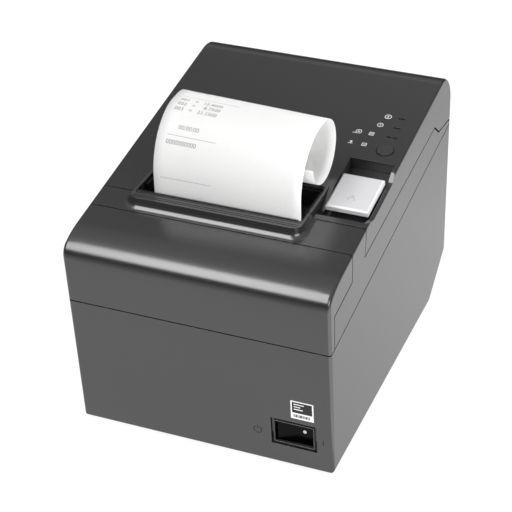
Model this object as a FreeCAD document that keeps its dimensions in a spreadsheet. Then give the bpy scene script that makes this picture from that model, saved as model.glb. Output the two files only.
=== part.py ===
import FreeCAD, Part
import math
import os
from types import SimpleNamespace

import Sketcher
from fcgear import fcgear, involute

# Desktop receipt printer, in millimetres: X across (right is +X), Y from front to back, Z up.
# The origin is on the table, under the middle of the case.

SIZES = dict(
    # case outline in the side view
    case_side=31.25,          # from the edge of the paper to the side of the case
    rear_y=99.6,              # flat back of the case
    front_base_y=93.08,       # how far forward the front face stands at table height
    front_lean=3.5,           # degrees that the front face leans forwards as it rises
    top_height=129.06,        # height of the sloping top above the origin
    top_slope=8.5,            # degrees that the top falls towards the front
    brow_y=88.7,              # how far forward the top turns down into the brow
    brow_slope=24.0,
    nose_round=7.6,
    brow_round=42.0,
    back_round=18.7,
    edge_round=1.8,           # along the left and right edges
    chamfer_y=71.2,           # where the bottom starts to rise to the back
    chamfer_slope=35.2,
    wall=2.2,
    floor=2.6,
    foot_height=2.0,
    foot_radius=6.0,
    foot_inset=15.0,          # from the side of the case
    foot_front_y=78.0,
    foot_back_y=56.0,
    foot_gap=0.1,
    foot_seat=0.8,            # depth of the pocket that each foot is glued into
    # seams between the casings
    seam_gap=0.7,
    hood_gap=0.7,             # the finer seam round the hood
    skin=1.1,                 # outer part of the wall; the rest steps over at each seam
    tongue=1.6,               # how far the inner part of the wall reaches past a seam
    tongue_gap=0.3,
    lower_seam_drop=36.21,    # of the lower seam, under the top
    lower_seam_slope=8.05,
    skirt_drop=17.36,         # of the cover's lower edge, under the top
    skirt_slope=6.2,
    lobe_front_y=68.2,        # the skirt drops beside the hinge from here
    lobe_base_y=76.6,
    lobe_drop=16.86,
    lobe_back_drop=19.46,
    hood_back_y=67.4,         # thin seam behind the hood
    hood_side_y=92.9,         # front strip of the hood on the sides
    hood_side_drop=15.8,      # how far the hood reaches down the sides
    cover_front_left_y=51.8,
    cover_front_right_y=47.3,
    seam_lean=1.5,            # how far the cover's front seam runs forwards down the sides
    seam_split_x=-4.0,        # where the left seam changes to the right one, inside the paper exit
    # paper exit
    exit_left=9.55,           # from the left edge of the paper
    exit_right=0.75,
    exit_front_y=59.2,
    exit_back_y=22.5,
    exit_round=3.0,
    rim_wall=1.6,
    rim_lip=2.8,              # how much wider the frame is in front, where it is ribbed
    rim_groove=0.5,
    rim_groove_deep=0.7,
    rim_drop=4.06,            # of the frame's level top, under the top
    rim_fillet=3.6,
    # paper
    paper_width=79.5,
    paper_thick=0.24,
    paper_y=55.0,             # plane in which the paper rises to the exit
    roll_radius=35.0,
    roll_core_radius=9.0,
    roll_core_bore=6.2,
    roll_y=34.0,
    roll_gap=0.4,             # under the roll, to the bottom of the bin
    web_slope=40.8,           # degrees at which the paper climbs from the roll
    receipt_lift=9.4,         # straight part of the receipt above the exit frame
    receipt_bend=28.0,
    receipt_flat=5.5,
    receipt_curl=16.8,
    receipt_turn=270.0,
    # platen and feed train
    nip_y=49.25,              # plane in which the paper passes the head
    exit_lean=24.5,           # degrees that the paper leans forwards from the head to the cutter
    platen_radius=5.5,
    platen_shaft_radius=2.0,
    platen_side=0.45,         # of the platen past the edge of the paper
    platen_drop=33.06,
    paper_gap=0.4,
    gear_module=0.7,
    platen_teeth=20,
    idler_teeth=30,
    pinion_teeth=12,
    gear_width=4.0,
    gear_side=7.45,           # from the paper to the inner face of the gears, on the left
    mesh_gap=0.25,            # added to the centre distances, which gives the teeth backlash
    shaft_fit=0.05,
    motor_radius=9.0,
    motor_length=18.0,
    motor_shaft_radius=1.0,
    motor_turn=250.0,         # direction from the reduction gear to the motor
    # print mechanism
    chassis_side=5.25,        # from the edge of the paper
    sheet=1.2,
    chassis_front_y=86.0,
    chassis_back_y=33.0,
    chassis_low_drop=76.06,
    chassis_high_drop=31.06,
    bearing_radius=3.4,
    bearing_gap=0.35,
    leg_wide=10.0,            # legs of the chassis, down to the floor of the case
    leg_front_y=76.0,
    leg_back_y=50.0,
    cheek=1.8,                # plates of the platen holder
    cheek_gap=0.8,            # between those plates and the chassis
    head_thick=1.2,
    head_sink=3.6,
    head_low_drop=46.06,
    head_high_drop=31.56,
    head_pivot_drop=51.06,
    head_pin_radius=1.5,
    head_gap=0.3,
    head_spring_long=7.5,
    head_spring_radius=2.4,
    head_spring_wire=0.4,
    head_spring_x=26.0,
    head_spring_drop=5.0,     # springs below the top of the heat sink
    stud_radius=2.0,
    stud_flange=1.4,
    # cutter
    blade_drop=17.86,         # of the moving blade, under the top
    blade_thick=1.0,
    blade_gap=0.35,
    blade_stroke=4.5,
    blade_rest_gap=2.0,       # from the edge of the moving blade to the paper
    blade_side=5.25,          # from the edge of the paper
    blade_back_y=84.0,
    rack_module=0.8,
    cutter_teeth=16,
    cutter_pinion_y=72.0,
    cutter_tab=7.0,           # side tab of the moving blade that carries the rack
    cutter_inset=5.0,         # of the cutter's base from the right side of the case
    cutter_left=5.0,          # of the cutter's base past the blade on the left
    cutter_front_y=86.0,
    cutter_back_y=57.6,
    fixed_blade_deep=13.0,
    dial_radius=8.0,
    dial_thick=1.6,
    cutter_shaft_radius=1.5,
    cutter_motor_long=20.0,
    guide_radius=1.5,
    guide_x=30.0,
    guide_inset=12.0,         # guide studs behind the front of the cutter's base
    guide_head=1.6,
    tear_gap=0.2,
    tear_drop=0.15,           # tear plate below the top of the exit frame
    # cover hinge and latch
    hinge_inset=2.1,          # hinge axis in front of the back
    hinge_drop=17.06,
    hinge_pin_radius=1.0,
    hinge_knuckle_radius=2.0,
    hinge_inset_x=27.0,       # of the hinge knuckles from the sides of the case
    hinge_knuckle_long=14.0,
    barrel_inset=5.0,         # of the cover's hinge barrel from the sides of the case
    hinge_gap=0.4,
    hinge_sweep=3.3,          # room that the turning edge of the cover needs
    lever_wide=22.6,
    lever_inset=3.1,          # from the right side of the case
    lever_front_y=36.0,
    lever_back_y=9.0,
    lever_bevel=0.9,          # along the edges of its top
    lever_thick=3.2,
    lever_rise=0.6,           # top of the lever above the sloping top
    lever_pivot_y=13.0,
    lever_pivot_drop=27.06,
    lever_pin_radius=1.5,
    lever_arm_inset=7.7,      # of the arm under the lever from its left side
    lever_arm_wide=8.0,
    lever_ear=2.4,            # ears of the cover that hold the lever's pin
    lever_ear_gap=1.2,
    lever_spring_wire=0.28,
    pocket_deep=6.4,
    pocket_back_y=4.4,
    pocket_front_y=44.0,
    pocket_side=0.7,
    valley_deep=4.2,          # of the valley between the lever and the exit frame
    latch_back=7.0,           # latch pin behind and below the lever's pivot
    latch_drop=10.0,
    latch_gap=0.4,
    latch_boss=2.0,
    scoop_deep=3.4,           # dip in the right edge beside the lever
    scoop_back_y=1.0,
    scoop_drop=10.0,          # length of the drop into the dip
    # controls
    button_inset=10.9,        # from the right side of the case
    button_y=14.4,
    button_radius=4.4,
    button_gap=0.35,
    button_proud=0.3,
    button_long=6.4,
    light_inset=11.0,
    light_first_y=42.7,
    light_step=8.4,
    light_long=3.4,
    light_pair=1.7,           # short lights beside the middle of the last row
    light_short=2.2,
    light_wide=1.2,
    light_gap=0.1,
    switch_inset=21.2,        # from the right side of the case
    switch_z=22.2,
    switch_wide=24.8,
    switch_high=17.2,
    switch_deep=15.0,
    switch_sunk=4.6,
    rocker_tilt=7.0,
    rocker_gap=0.5,
    rocker_side=2.0,          # from the end of the rocker to the end of the opening
    rocker_pin_radius=1.0,
    rocker_pin_deep=5.0,
    control_deep=8.6,         # control board below the sloping top
    # lower case fittings
    bin_radius=42.0,
    bin_wall=1.6,
    bin_side=2.25,            # from the edge of the paper
    bin_drop=63.06,           # of the middle of the bin, under the top
    bin_top_drop=37.06,
    bin_rib_x=29.4,
    bin_rib_y=23.1,           # ribs in front of and behind the middle of the roll
    bin_rib_drop=91.06,       # ribs that carry the bin
    bin_lip_drop=89.06,       # the front wall of the bin is cut down to here for the paper
    board_z=8.0,
    board_thick=1.6,
    board_half=42.0,
    board_front_y=80.0,
    board_back_y=6.0,
    post_inset=9.0,           # from the side of the case
    post_radius=4.0,
    post_front_y=50.0,
    post_back_y=48.0,
    screw_radius=1.5,
    screw_head_radius=3.0,
    screw_head=2.0,
    screw_long=10.0,
    screw_bore=12.0,
    panel_half=36.0,
    panel_low_z=28.0,
    panel_high_z=52.0,
    panel_deep=11.0,
    panel_board_gap=4.0,
    panel_screw_inset=3.0,    # from the ends of the recess
    inlet_inset=13.0,         # of the power inlet from the left end of the recess
    drawer_inset=17.0,        # of the drawer socket from the right end
    data_side=2.0,            # of the data socket from the middle
    socket_wide=14.0,
    socket_high=13.0,
    data_wide=12.0,
    data_high=11.0,
    capacitor_radius=5.0,
    capacitor_high=13.0,
)

doc = FreeCAD.newDocument("receipt_printer")
sheet = doc.addObject("Spreadsheet::Sheet", "sheet")
for row, (name, number) in enumerate(SIZES.items(), 1):
    sheet.set(f"A{row}", name)
    sheet.set(f"B{row}", str(number))
    sheet.setAlias(f"B{row}", name)
doc.recompute()


class Term:
    """A size, or a sum worked out from sizes: its number and the expression that binds it to the sheet."""

    def __init__(self, text, number):
        self.text = text
        self.number = number

    def __add__(self, other):
        other = term(other)
        return Term(f"({self.text} + {other.text})", self.number + other.number)

    def __sub__(self, other):
        other = term(other)
        return Term(f"({self.text} - {other.text})", self.number - other.number)

    def __mul__(self, other):
        other = term(other)
        return Term(f"({self.text} * {other.text})", self.number * other.number)

    def __truediv__(self, other):
        other = term(other)
        return Term(f"({self.text} / {other.text})", self.number / other.number)

    def __neg__(self):
        return Term(f"(0 - {self.text})", -self.number)

    def __radd__(self, other):
        return term(other) + self

    def __rsub__(self, other):
        return term(other) - self

    def __rmul__(self, other):
        return term(other) * self


def term(number):
    return number if isinstance(number, Term) else Term(repr(float(number)), float(number))


def sine(angle):
    return Term(f"sin({angle.text})", math.sin(math.radians(angle.number)))


def cosine(angle):
    return Term(f"cos({angle.text})", math.cos(math.radians(angle.number)))


def tangent(angle):
    return Term(f"tan({angle.text})", math.tan(math.radians(angle.number)))


s = SimpleNamespace(**{name: Term(f"sheet.{name}", float(number)) for name, number in SIZES.items()})

# across: the mechanism is set out from the paper, and the casings and controls from the sides of the case
PAPER_HALF = s.paper_width / 2
HALF = PAPER_HALF + s.case_side
s.exit_left_x = PAPER_HALF + s.exit_left
s.exit_right_x = PAPER_HALF + s.exit_right
s.platen_half = PAPER_HALF + s.platen_side
s.gear_x = PAPER_HALF + s.gear_side
s.chassis_x = PAPER_HALF + s.chassis_side
s.blade_half = PAPER_HALF + s.blade_side
s.bin_half = PAPER_HALF + s.bin_side
s.cutter_base_left = s.blade_half + s.cutter_left
s.cutter_base_right = HALF - s.cutter_inset
s.foot_x = HALF - s.foot_inset
s.post_x = HALF - s.post_inset
s.hinge_x = HALF - s.hinge_inset_x
s.hinge_barrel = HALF - s.barrel_inset
s.lever_right_x = HALF - s.lever_inset
s.lever_left_x = s.lever_right_x - s.lever_wide
s.lever_arm_x = s.lever_left_x + s.lever_arm_inset
s.button_x = HALF - s.button_inset
s.light_x = HALF - s.light_inset
s.switch_x = HALF - s.switch_inset

# upwards: the mechanism hangs under the top
s.lower_seam_height = s.top_height - s.lower_seam_drop
s.skirt_height = s.top_height - s.skirt_drop
s.lobe_height = s.top_height - s.lobe_drop
s.lobe_back_height = s.top_height - s.lobe_back_drop
s.rim_height = s.top_height - s.rim_drop
s.platen_z = s.top_height - s.platen_drop
s.chassis_low_z = s.top_height - s.chassis_low_drop
s.chassis_high_z = s.top_height - s.chassis_high_drop
s.head_low_z = s.top_height - s.head_low_drop
s.head_high_z = s.top_height - s.head_high_drop
s.head_pivot_z = s.top_height - s.head_pivot_drop
s.blade_z = s.top_height - s.blade_drop
s.hinge_z = s.top_height - s.hinge_drop
s.lever_pivot_z = s.top_height - s.lever_pivot_drop
s.bin_z = s.top_height - s.bin_drop
s.bin_top_z = s.top_height - s.bin_top_drop
s.bin_rib_z = s.top_height - s.bin_rib_drop
s.bin_lip_z = s.top_height - s.bin_lip_drop

PIECES = []
AXES = {"x": FreeCAD.Vector(0, 1, 0), "y": FreeCAD.Vector(-1, 0, 0), "z": FreeCAD.Vector(0, 0, 1)}
TURN = {"x": 90.0, "y": 90.0, "z": 0.0}
PLANES = {"side": "YZ_Plane", "front": "XZ_Plane", "top": "XY_Plane"}


def bind(thing, prop, amount):
    thing.setExpression(prop, term(amount).text)


def place(thing, x, y, z):
    bind(thing, "Placement.Base.x", x)
    bind(thing, "Placement.Base.y", y)
    bind(thing, "Placement.Base.z", z)


def block(x, y, z):
    """A box between two corners, given as a pair for each direction."""
    box = doc.addObject("Part::Box", "block")
    bind(box, "Length", x[1] - term(x[0]))
    bind(box, "Width", y[1] - term(y[0]))
    bind(box, "Height", z[1] - term(z[0]))
    place(box, x[0], y[0], z[0])
    return box


def sloped_block(x, along, height):
    """A box that lies on the sloping top: along runs back from the origin, height is above the top."""
    box = doc.addObject("Part::Box", "sloped_block")
    bind(box, "Length", x[1] - term(x[0]))
    bind(box, "Width", along[1] - term(along[0]))
    bind(box, "Height", height[1] - term(height[0]))
    box.Placement.Rotation = FreeCAD.Rotation(FreeCAD.Vector(1, 0, 0), s.top_slope.number)
    bind(box, "Placement.Rotation.Angle", s.top_slope)
    place(box, x[0], *on_top(along[0], height[0]))
    return box


def bevel_top(plate, size):
    """A flat bevel all round the upper face of a plate that lies on the sloping top."""
    doc.recompute()
    lean = FreeCAD.Vector(0, -sine(s.top_slope).number, cosine(s.top_slope).number)
    heights = [edge.CenterOfMass.dot(lean) for edge in plate.Shape.Edges]
    bevel = doc.addObject("Part::Chamfer", "bevel")
    bevel.Base = plate
    upper = [i for i, height in enumerate(heights, 1) if height > max(heights) - 0.01]
    bevel.Edges = [(i, size.number, size.number) for i in upper]
    doc.recompute()
    return bevel


def on_top(along, height):
    """Y and Z of a point on the sloping top."""
    along = term(along)
    y = along * cosine(s.top_slope) - height * sine(s.top_slope)
    z = s.top_height + along * sine(s.top_slope) + height * cosine(s.top_slope)
    return y, z


def rod(radius, axis, span, at):
    """A round bar along one axis, with its other two places in at."""
    bar = doc.addObject("Part::Cylinder", "rod")
    bind(bar, "Radius", radius)
    bind(bar, "Height", span[1] - term(span[0]))
    bar.Placement.Rotation = FreeCAD.Rotation(AXES[axis], TURN[axis])
    if axis == "x":
        place(bar, span[0], at[0], at[1])
    if axis == "y":
        place(bar, at[0], span[0], at[1])
    if axis == "z":
        place(bar, at[0], at[1], span[0])
    return bar


def outline(body, plane, corners, start):
    """A closed sketch of straight lines, each corner held by two dimensions from the origin."""
    sketch = body.newObject("Sketcher::SketchObject", "outline")
    support = [o for o in body.Origin.OriginFeatures if o.Role == PLANES[plane]]
    sketch.AttachmentSupport = [(support[0], "")]
    sketch.MapMode = "FlatFace"
    bind(sketch, "AttachmentOffset.Base.z", start)
    points = [FreeCAD.Vector(term(u).number, term(v).number, 0) for u, v in corners]
    count = len(points)
    for i in range(count):
        sketch.addGeometry(Part.LineSegment(points[i], points[(i + 1) % count]), False)
    for i in range(count):
        sketch.addConstraint(Sketcher.Constraint("Coincident", i, 2, (i + 1) % count, 1))
    for i, (u, v) in enumerate(corners):
        for kind, amount in (("DistanceX", term(u)), ("DistanceY", term(v))):
            held = sketch.addConstraint(Sketcher.Constraint(kind, -1, 1, i, 1, amount.number))
            sketch.setExpression(f"Constraints[{held}]", amount.text)
    return sketch


def prism(plane, corners, span):
    """A straight solid: an outline in the side, front or top view, carried over span."""
    body = doc.addObject("PartDesign::Body", "prism")
    low, high = term(span[0]), term(span[1])
    sketch = outline(body, plane, corners, -high if plane == "front" else low)
    pad = body.newObject("PartDesign::Pad", "pad")
    pad.Profile = sketch
    bind(pad, "Length", high - low)
    doc.recompute()
    return body


def round_edges(body, radius, wanted):
    """A fillet of one radius on the edges of a body that wanted picks."""
    base = body.Tip
    names = [f"Edge{i}" for i, edge in enumerate(base.Shape.Edges, 1) if wanted(edge)]
    fillet = body.newObject("PartDesign::Fillet", "fillet")
    fillet.Base = (base, names)
    bind(fillet, "Radius", radius)
    doc.recompute()
    return body


def along_axis(edge, axis):
    """Whether an edge runs straight along one axis."""
    box = edge.BoundBox
    spans = {"x": box.XLength, "y": box.YLength, "z": box.ZLength}
    longest = spans.pop(axis)
    return longest > 0.5 and max(spans.values()) < 1e-4


def near(edge, y, z):
    """Whether an edge along X passes through a place in the side view."""
    centre = edge.BoundBox.Center
    return along_axis(edge, "x") and math.hypot(centre.y - y.number, centre.z - z.number) < 0.05


def upright_round(x, y, z, radius):
    """A box with its four upright edges rounded."""
    body = prism("top", [(x[0], y[0]), (x[1], y[0]), (x[1], y[1]), (x[0], y[1])], z)
    return round_edges(body, radius, lambda edge: along_axis(edge, "z"))


def fuse(*parts):
    both = doc.addObject("Part::MultiFuse", "fuse")
    both.Shapes = list(parts)
    both.Refine = True
    doc.recompute()
    return both


def cut(base, *tools):
    rest = doc.addObject("Part::Cut", "cut")
    rest.Base = base
    rest.Tool = tools[0] if len(tools) == 1 else fuse(*tools)
    doc.recompute()
    if rest.Shape.Volume >= base.Shape.Volume:
        raise RuntimeError(f"{rest.Name} removes nothing")
    return rest


def common(first, second):
    both = doc.addObject("Part::MultiCommon", "common")
    both.Shapes = [first, second]
    doc.recompute()
    return both


def group(*parts):
    """Separate solids that share one node."""
    together = doc.addObject("Part::Compound", "group")
    together.Links = list(parts)
    return together


def piece(label, thing):
    """Names a finished sub-part, which is written to a file of that name."""
    doc.recompute()
    thing.Label = label
    PIECES.append(thing)
    return thing


def tube(outer, inner, axis, span, at):
    return cut(rod(outer, axis, span, at), rod(inner, axis, span, at))


BEYOND = HALF * 2              # reaches past the case on every side
BASE = s.foot_height
INNER = HALF - s.wall          # inside of the left and right walls
HINGE_Y = s.rear_y - s.hinge_inset
HINGE_AT = (HINGE_Y, s.hinge_z)
PAPER_BACK = -s.paper_y + s.paper_thick / 2
PAPER_FRONT = -s.paper_y - s.paper_thick / 2
PLATEN_AT = (-s.nip_y + s.paper_thick / 2 + s.paper_gap + s.platen_radius, s.platen_z)
ROLL_AT = (s.roll_y, s.bin_z - s.bin_radius + s.roll_radius + s.roll_gap)
LEVER_AT = (-s.lever_pivot_y, s.lever_pivot_z)
LATCH_RADIUS = s.lever_pin_radius
LATCH_AT = (-s.lever_pivot_y + s.latch_back, s.lever_pivot_z - s.latch_drop)
HEAD_BACK = -s.nip_y - s.paper_thick / 2 - s.head_gap
HEAD_AT = (HEAD_BACK - s.head_thick - s.head_sink, s.head_pivot_z)
BLADE_TOP = s.blade_z + s.blade_thick
FIXED_Z = BLADE_TOP + s.blade_gap
HOLDER_Z = FIXED_Z + s.blade_thick       # underside of the holder's plate, on the fixed blade
HOLDER_TOP = HOLDER_Z + s.wall
PANEL_Y = s.rear_y - s.panel_deep
CHEEK_OUTER = s.chassis_x - s.cheek_gap
CONTROL_LOW = -s.control_deep            # top of the control board, from the sloping top
CUTTER_REACH = s.cutter_teeth * s.rack_module / 2 - s.rack_module + s.mesh_gap
CUTTER_AT = (s.blade_half + s.cutter_tab + CUTTER_REACH, -s.cutter_pinion_y)
FEET = [(side * s.foot_x, y) for side in (-1, 1) for y in (-s.foot_front_y, s.foot_back_y)]


def front_y(z):
    return -(s.front_base_y + tangent(s.front_lean) * z)


def top_z(y):
    return s.top_height + tangent(s.top_slope) * y


def lower_seam(y):
    return s.lower_seam_height + tangent(s.lower_seam_slope) * y


def skirt_z(y):
    return s.skirt_height + tangent(s.skirt_slope) * y


def inset(y, z, before, after, depth):
    """A corner of an outline moved inwards, between two faces given by the angles of their normals."""
    middle = (before + term(after)) / 2
    spread = depth / cosine((after - term(before)) / 2)
    return y - spread * cosine(middle), z - spread * sine(middle)


def case_corners(depth, floor):
    """The case in the side view, depth inside its outer faces, from the front bottom corner round."""
    low = BASE + floor
    brow = -s.brow_y
    brow_z = top_z(brow)
    lean, slope = tangent(s.front_lean), tangent(s.brow_slope)
    nose_y = -(s.front_base_y + lean * (brow_z + slope * s.brow_y)) / (1 + lean * slope)
    nose_z = brow_z + slope * (nose_y - brow)
    heel_z = BASE + (s.rear_y - s.chamfer_y) * tangent(s.chamfer_slope)
    front_face, top_face = 180 + s.front_lean, 90 + s.top_slope
    brow_face, heel_face = 90 + s.brow_slope, s.chamfer_slope - 90
    sole_y = s.chamfer_y - depth / sine(s.chamfer_slope) + floor / tangent(s.chamfer_slope)
    return [
        (front_y(low) + depth / cosine(s.front_lean), low),
        inset(nose_y, nose_z, brow_face, front_face, depth),
        inset(brow, brow_z, top_face, brow_face, depth),
        inset(s.rear_y, top_z(s.rear_y), 0, top_face, depth),
        inset(s.rear_y, heel_z, heel_face, 0, depth),
        (sole_y, low),
    ]


def case_solid(depth, floor):
    """The case as a solid block, depth inside its outer faces, with its long edges rounded."""
    corners = case_corners(depth, floor)
    body = prism("side", corners, (-HALF + depth, HALF - depth))
    for corner, radius in ((1, s.nose_round), (2, s.brow_round), (3, s.back_round)):
        y, z = corners[corner]
        round_edges(body, radius - depth, lambda edge: near(edge, y, z))
    return body


def seam_regions(step):
    """Where each casing lies, beside, above and below the seams; step moves the seams for the inner wall."""
    gap, fine = s.seam_gap / 2, s.hood_gap / 2
    high = s.top_height * 2
    front, back = -BEYOND, BEYOND
    across = (-BEYOND, BEYOND)
    strip, rear = -s.hood_side_y - step, -s.hood_back_y - step
    hood_low = top_z(strip) - s.hood_side_drop + step
    hood_high = top_z(rear) - s.hood_side_drop + step
    lobe_top = skirt_z(s.lobe_front_y) + step
    bend = s.rim_fillet + s.wall
    lobe_z, lobe_end = s.lobe_height + step, s.lobe_back_height + step

    def seam(y, offset):
        return (y, lower_seam(y) + step + offset)

    def upper(cover_y, x):
        edge = cover_y + step - gap
        low = edge - s.seam_lean
        return prism("side", [
            seam(strip + fine, gap), seam(back, gap), (back, lobe_end - gap), (s.rear_y, lobe_end - gap),
            (s.lobe_base_y - gap, lobe_z - gap), (s.lobe_front_y - gap, lobe_top - gap),
            (low, skirt_z(low) + step - gap), (edge, top_z(edge) - bend), (edge, high), (rear + fine, high),
            (rear + fine, hood_high - fine), (strip + fine, hood_low - fine)], x)

    def cover(cover_y, x):
        edge = cover_y + step + gap
        low = edge - s.seam_lean
        return prism("side", [
            (low, skirt_z(low) + step + gap), (s.lobe_front_y + gap, lobe_top + gap),
            (s.lobe_base_y + gap, lobe_z + gap), (s.rear_y, lobe_end + gap), (back, lobe_end + gap),
            (back, high), (edge, high), (edge, top_z(edge) - bend)], x)

    def both(region):
        left = region(-s.cover_front_left_y, (-BEYOND, s.seam_split_x))
        right = region(-s.cover_front_right_y, (s.seam_split_x, BEYOND))
        return fuse(left, right)

    below = [(front, -s.floor), (back, -s.floor), seam(back, -gap), seam(front, -gap)]
    hood = [seam(front, gap), seam(strip - fine, gap), (strip - fine, hood_low + fine),
            (rear - fine, hood_high + fine), (rear - fine, high), (front, high)]
    return SimpleNamespace(
        lower=prism("side", below, across), hood=prism("side", hood, across),
        upper=both(upper), cover=both(cover))


def casings():
    """The outer shell, split along the seams; inside each seam one wall steps over behind the other."""
    none = term(0)
    envelope = case_solid(none, none)
    ends = HALF.number - 0.01
    round_edges(envelope, s.edge_round, lambda edge: abs(edge.BoundBox.Center.x) > ends)
    first, second = s.skin, s.skin + s.tongue_gap
    first_core, second_core = case_solid(first, first), case_solid(second, second)
    outer = cut(envelope, first_core)
    middle = cut(first_core, second_core)
    inner = cut(second_core, case_solid(s.wall, s.floor))
    plain, stepped = seam_regions(none), seam_regions(s.tongue)

    def split(name):
        here, there = getattr(plain, name), getattr(stepped, name)
        return fuse(common(outer, here), common(common(middle, here), there), common(inner, there))

    return SimpleNamespace(
        envelope=envelope, front_region=plain.upper, back_region=plain.cover,
        lower=split("lower"), hood=split("hood"), upper=split("upper"), cover=split("cover"))


def exit_hole(extra, z):
    x = (-s.exit_left_x - extra, s.exit_right_x + extra)
    y = (-s.exit_front_y - extra, -s.exit_back_y + extra)
    return upright_round(x, y, z, s.exit_round + extra)


def exit_corner(extra, z):
    """The right front corner of the exit, which is square so that the edge of the paper runs free."""
    right, front = s.exit_right_x + extra, -s.exit_front_y - extra
    return block((right - s.exit_round, right), (front, front + s.exit_round), z)


def exit_rim():
    """The raised frame round the paper exit, from under the deck up to its level top."""
    low = top_z(-s.exit_front_y) - s.wall
    x = (-s.exit_left_x - s.rim_wall, s.exit_right_x + s.rim_wall)
    y = (-s.exit_front_y - s.rim_wall - s.rim_lip, -s.exit_back_y + s.rim_wall)
    outside = upright_round(x, y, (low, s.rim_height), s.exit_round + s.rim_wall)
    through = (low - 1, s.rim_height + 1)
    return cut(outside, exit_hole(term(0), through), exit_corner(term(0), through))


def rim_grooves():
    """Two grooves along the wide front of the exit frame."""
    x = (-s.exit_left_x, s.exit_right_x)
    z = (s.rim_height - s.rim_groove_deep, s.rim_height + 1)
    places = [-s.exit_front_y - (s.rim_wall + s.rim_lip) * share for share in (0.25, 0.6)]
    return [block(x, (y - s.rim_groove / 2, y + s.rim_groove / 2), z) for y in places]


def screw(x, y, z, length):
    """A pan-head screw pointing up, with its head's underside at z."""
    low = z - s.screw_head
    head = rod(s.screw_head_radius, "z", (low, z), (x, y))
    shank = rod(s.screw_radius, "z", (low, z + length), (x, y))
    slot = block((x - 0.4, x + 0.4), (y - s.screw_head_radius, y + s.screw_head_radius), (low - 1, low + 0.7))
    return cut(fuse(head, shank), slot)


def post_places():
    return [(side * s.post_x, y) for side in (-1, 1) for y in (-s.post_front_y, s.post_back_y)]


def board_places():
    margin = s.post_radius + 1
    return [(side * (s.board_half - margin), y) for side in (-1, 1)
            for y in (-s.board_front_y + margin, -s.board_back_y - margin)]


def holder_places():
    return [(side * (s.platen_half - 6), -s.exit_back_y + 4) for side in (-1, 1)]


def switch_box(extra):
    wide, high = s.switch_wide / 2 + extra, s.switch_high / 2 + extra
    return (s.switch_x - wide, s.switch_x + wide), (s.switch_z - high, s.switch_z + high)


def rib_places():
    return [(side * s.bin_rib_x, s.roll_y + end * s.bin_rib_y) for side in (-1, 1) for end in (-1, 1)]


def lower_case(case):
    floor_top = BASE + s.floor
    seat_z = BASE + s.screw_head
    tools = []
    for at in post_places():
        tools.append(rod(s.screw_head_radius + 0.3, "z", (0, seat_z), at))
        tools.append(rod(s.screw_radius + 0.2, "z", (0, floor_top + 3), at))
    tools += [rod(s.foot_radius, "z", (0, BASE + s.foot_seat), at) for at in FEET]
    tools += [rod(s.screw_radius, "z", (floor_top, s.board_z + 1), at) for at in board_places()]
    opening = switch_box(term(0))
    tools.append(block(opening[0], (-BEYOND, -s.front_base_y + s.wall * 2), opening[1]))
    tools.append(block((-s.panel_half, s.panel_half), (PANEL_Y - 1, BEYOND), (s.panel_low_z, s.panel_high_z)))
    wall = s.wall
    tub = block((-s.panel_half - wall, s.panel_half + wall), (PANEL_Y, s.rear_y - wall / 2),
                (s.panel_low_z - wall, s.panel_high_z + wall))
    bosses = [rod(s.post_radius, "z", (BASE + 1, s.board_z), at) for at in board_places()]
    ribs = [block((x - 4, x + 4), (y - 1.5, y + 1.5), (BASE + 1, s.bin_rib_z)) for x, y in rib_places()]
    cradle = cut(fuse(*ribs), rod(s.bin_radius + s.bin_wall, "x", (-HALF, HALF), (s.roll_y, s.bin_z)))
    collars = [rod(s.post_radius, "z", (BASE + 1, floor_top + 2), at) for at in post_places()]
    whole = fuse(case.lower, tub, cradle, *bosses, *collars)
    return piece("lower_case", cut(whole, *tools))


def on_rim_foot(edge):
    """Whether an edge is where the raised exit frame stands on the deck of the upper case."""
    mid = edge.valueAt((edge.FirstParameter + edge.LastParameter) / 2)
    outside = s.rim_wall.number + 0.05
    inside = s.rim_wall.number - 0.05
    reach = max(-s.exit_left_x.number - mid.x, mid.x - s.exit_right_x.number,
                -s.exit_front_y.number - s.rim_lip.number - mid.y)
    on_deck = abs(mid.z - top_z(term(mid.y)).number) < 0.02
    beside = inside - s.exit_round.number < reach < outside
    return on_deck and beside and mid.y < -s.cover_front_right_y.number


def knuckle_spans(owner):
    """Spans along X of the hinge knuckles of the case or of the cover."""
    near_side, far_side = s.hinge_x - s.hinge_knuckle_long / 2, s.hinge_x + s.hinge_knuckle_long / 2
    if owner == "case":
        return [(-far_side, -near_side), (near_side, far_side)]
    gap, end = s.hinge_gap, s.hinge_barrel
    return [(-end, -far_side - gap), (-near_side + gap, near_side - gap), (far_side + gap, end)]


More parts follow.
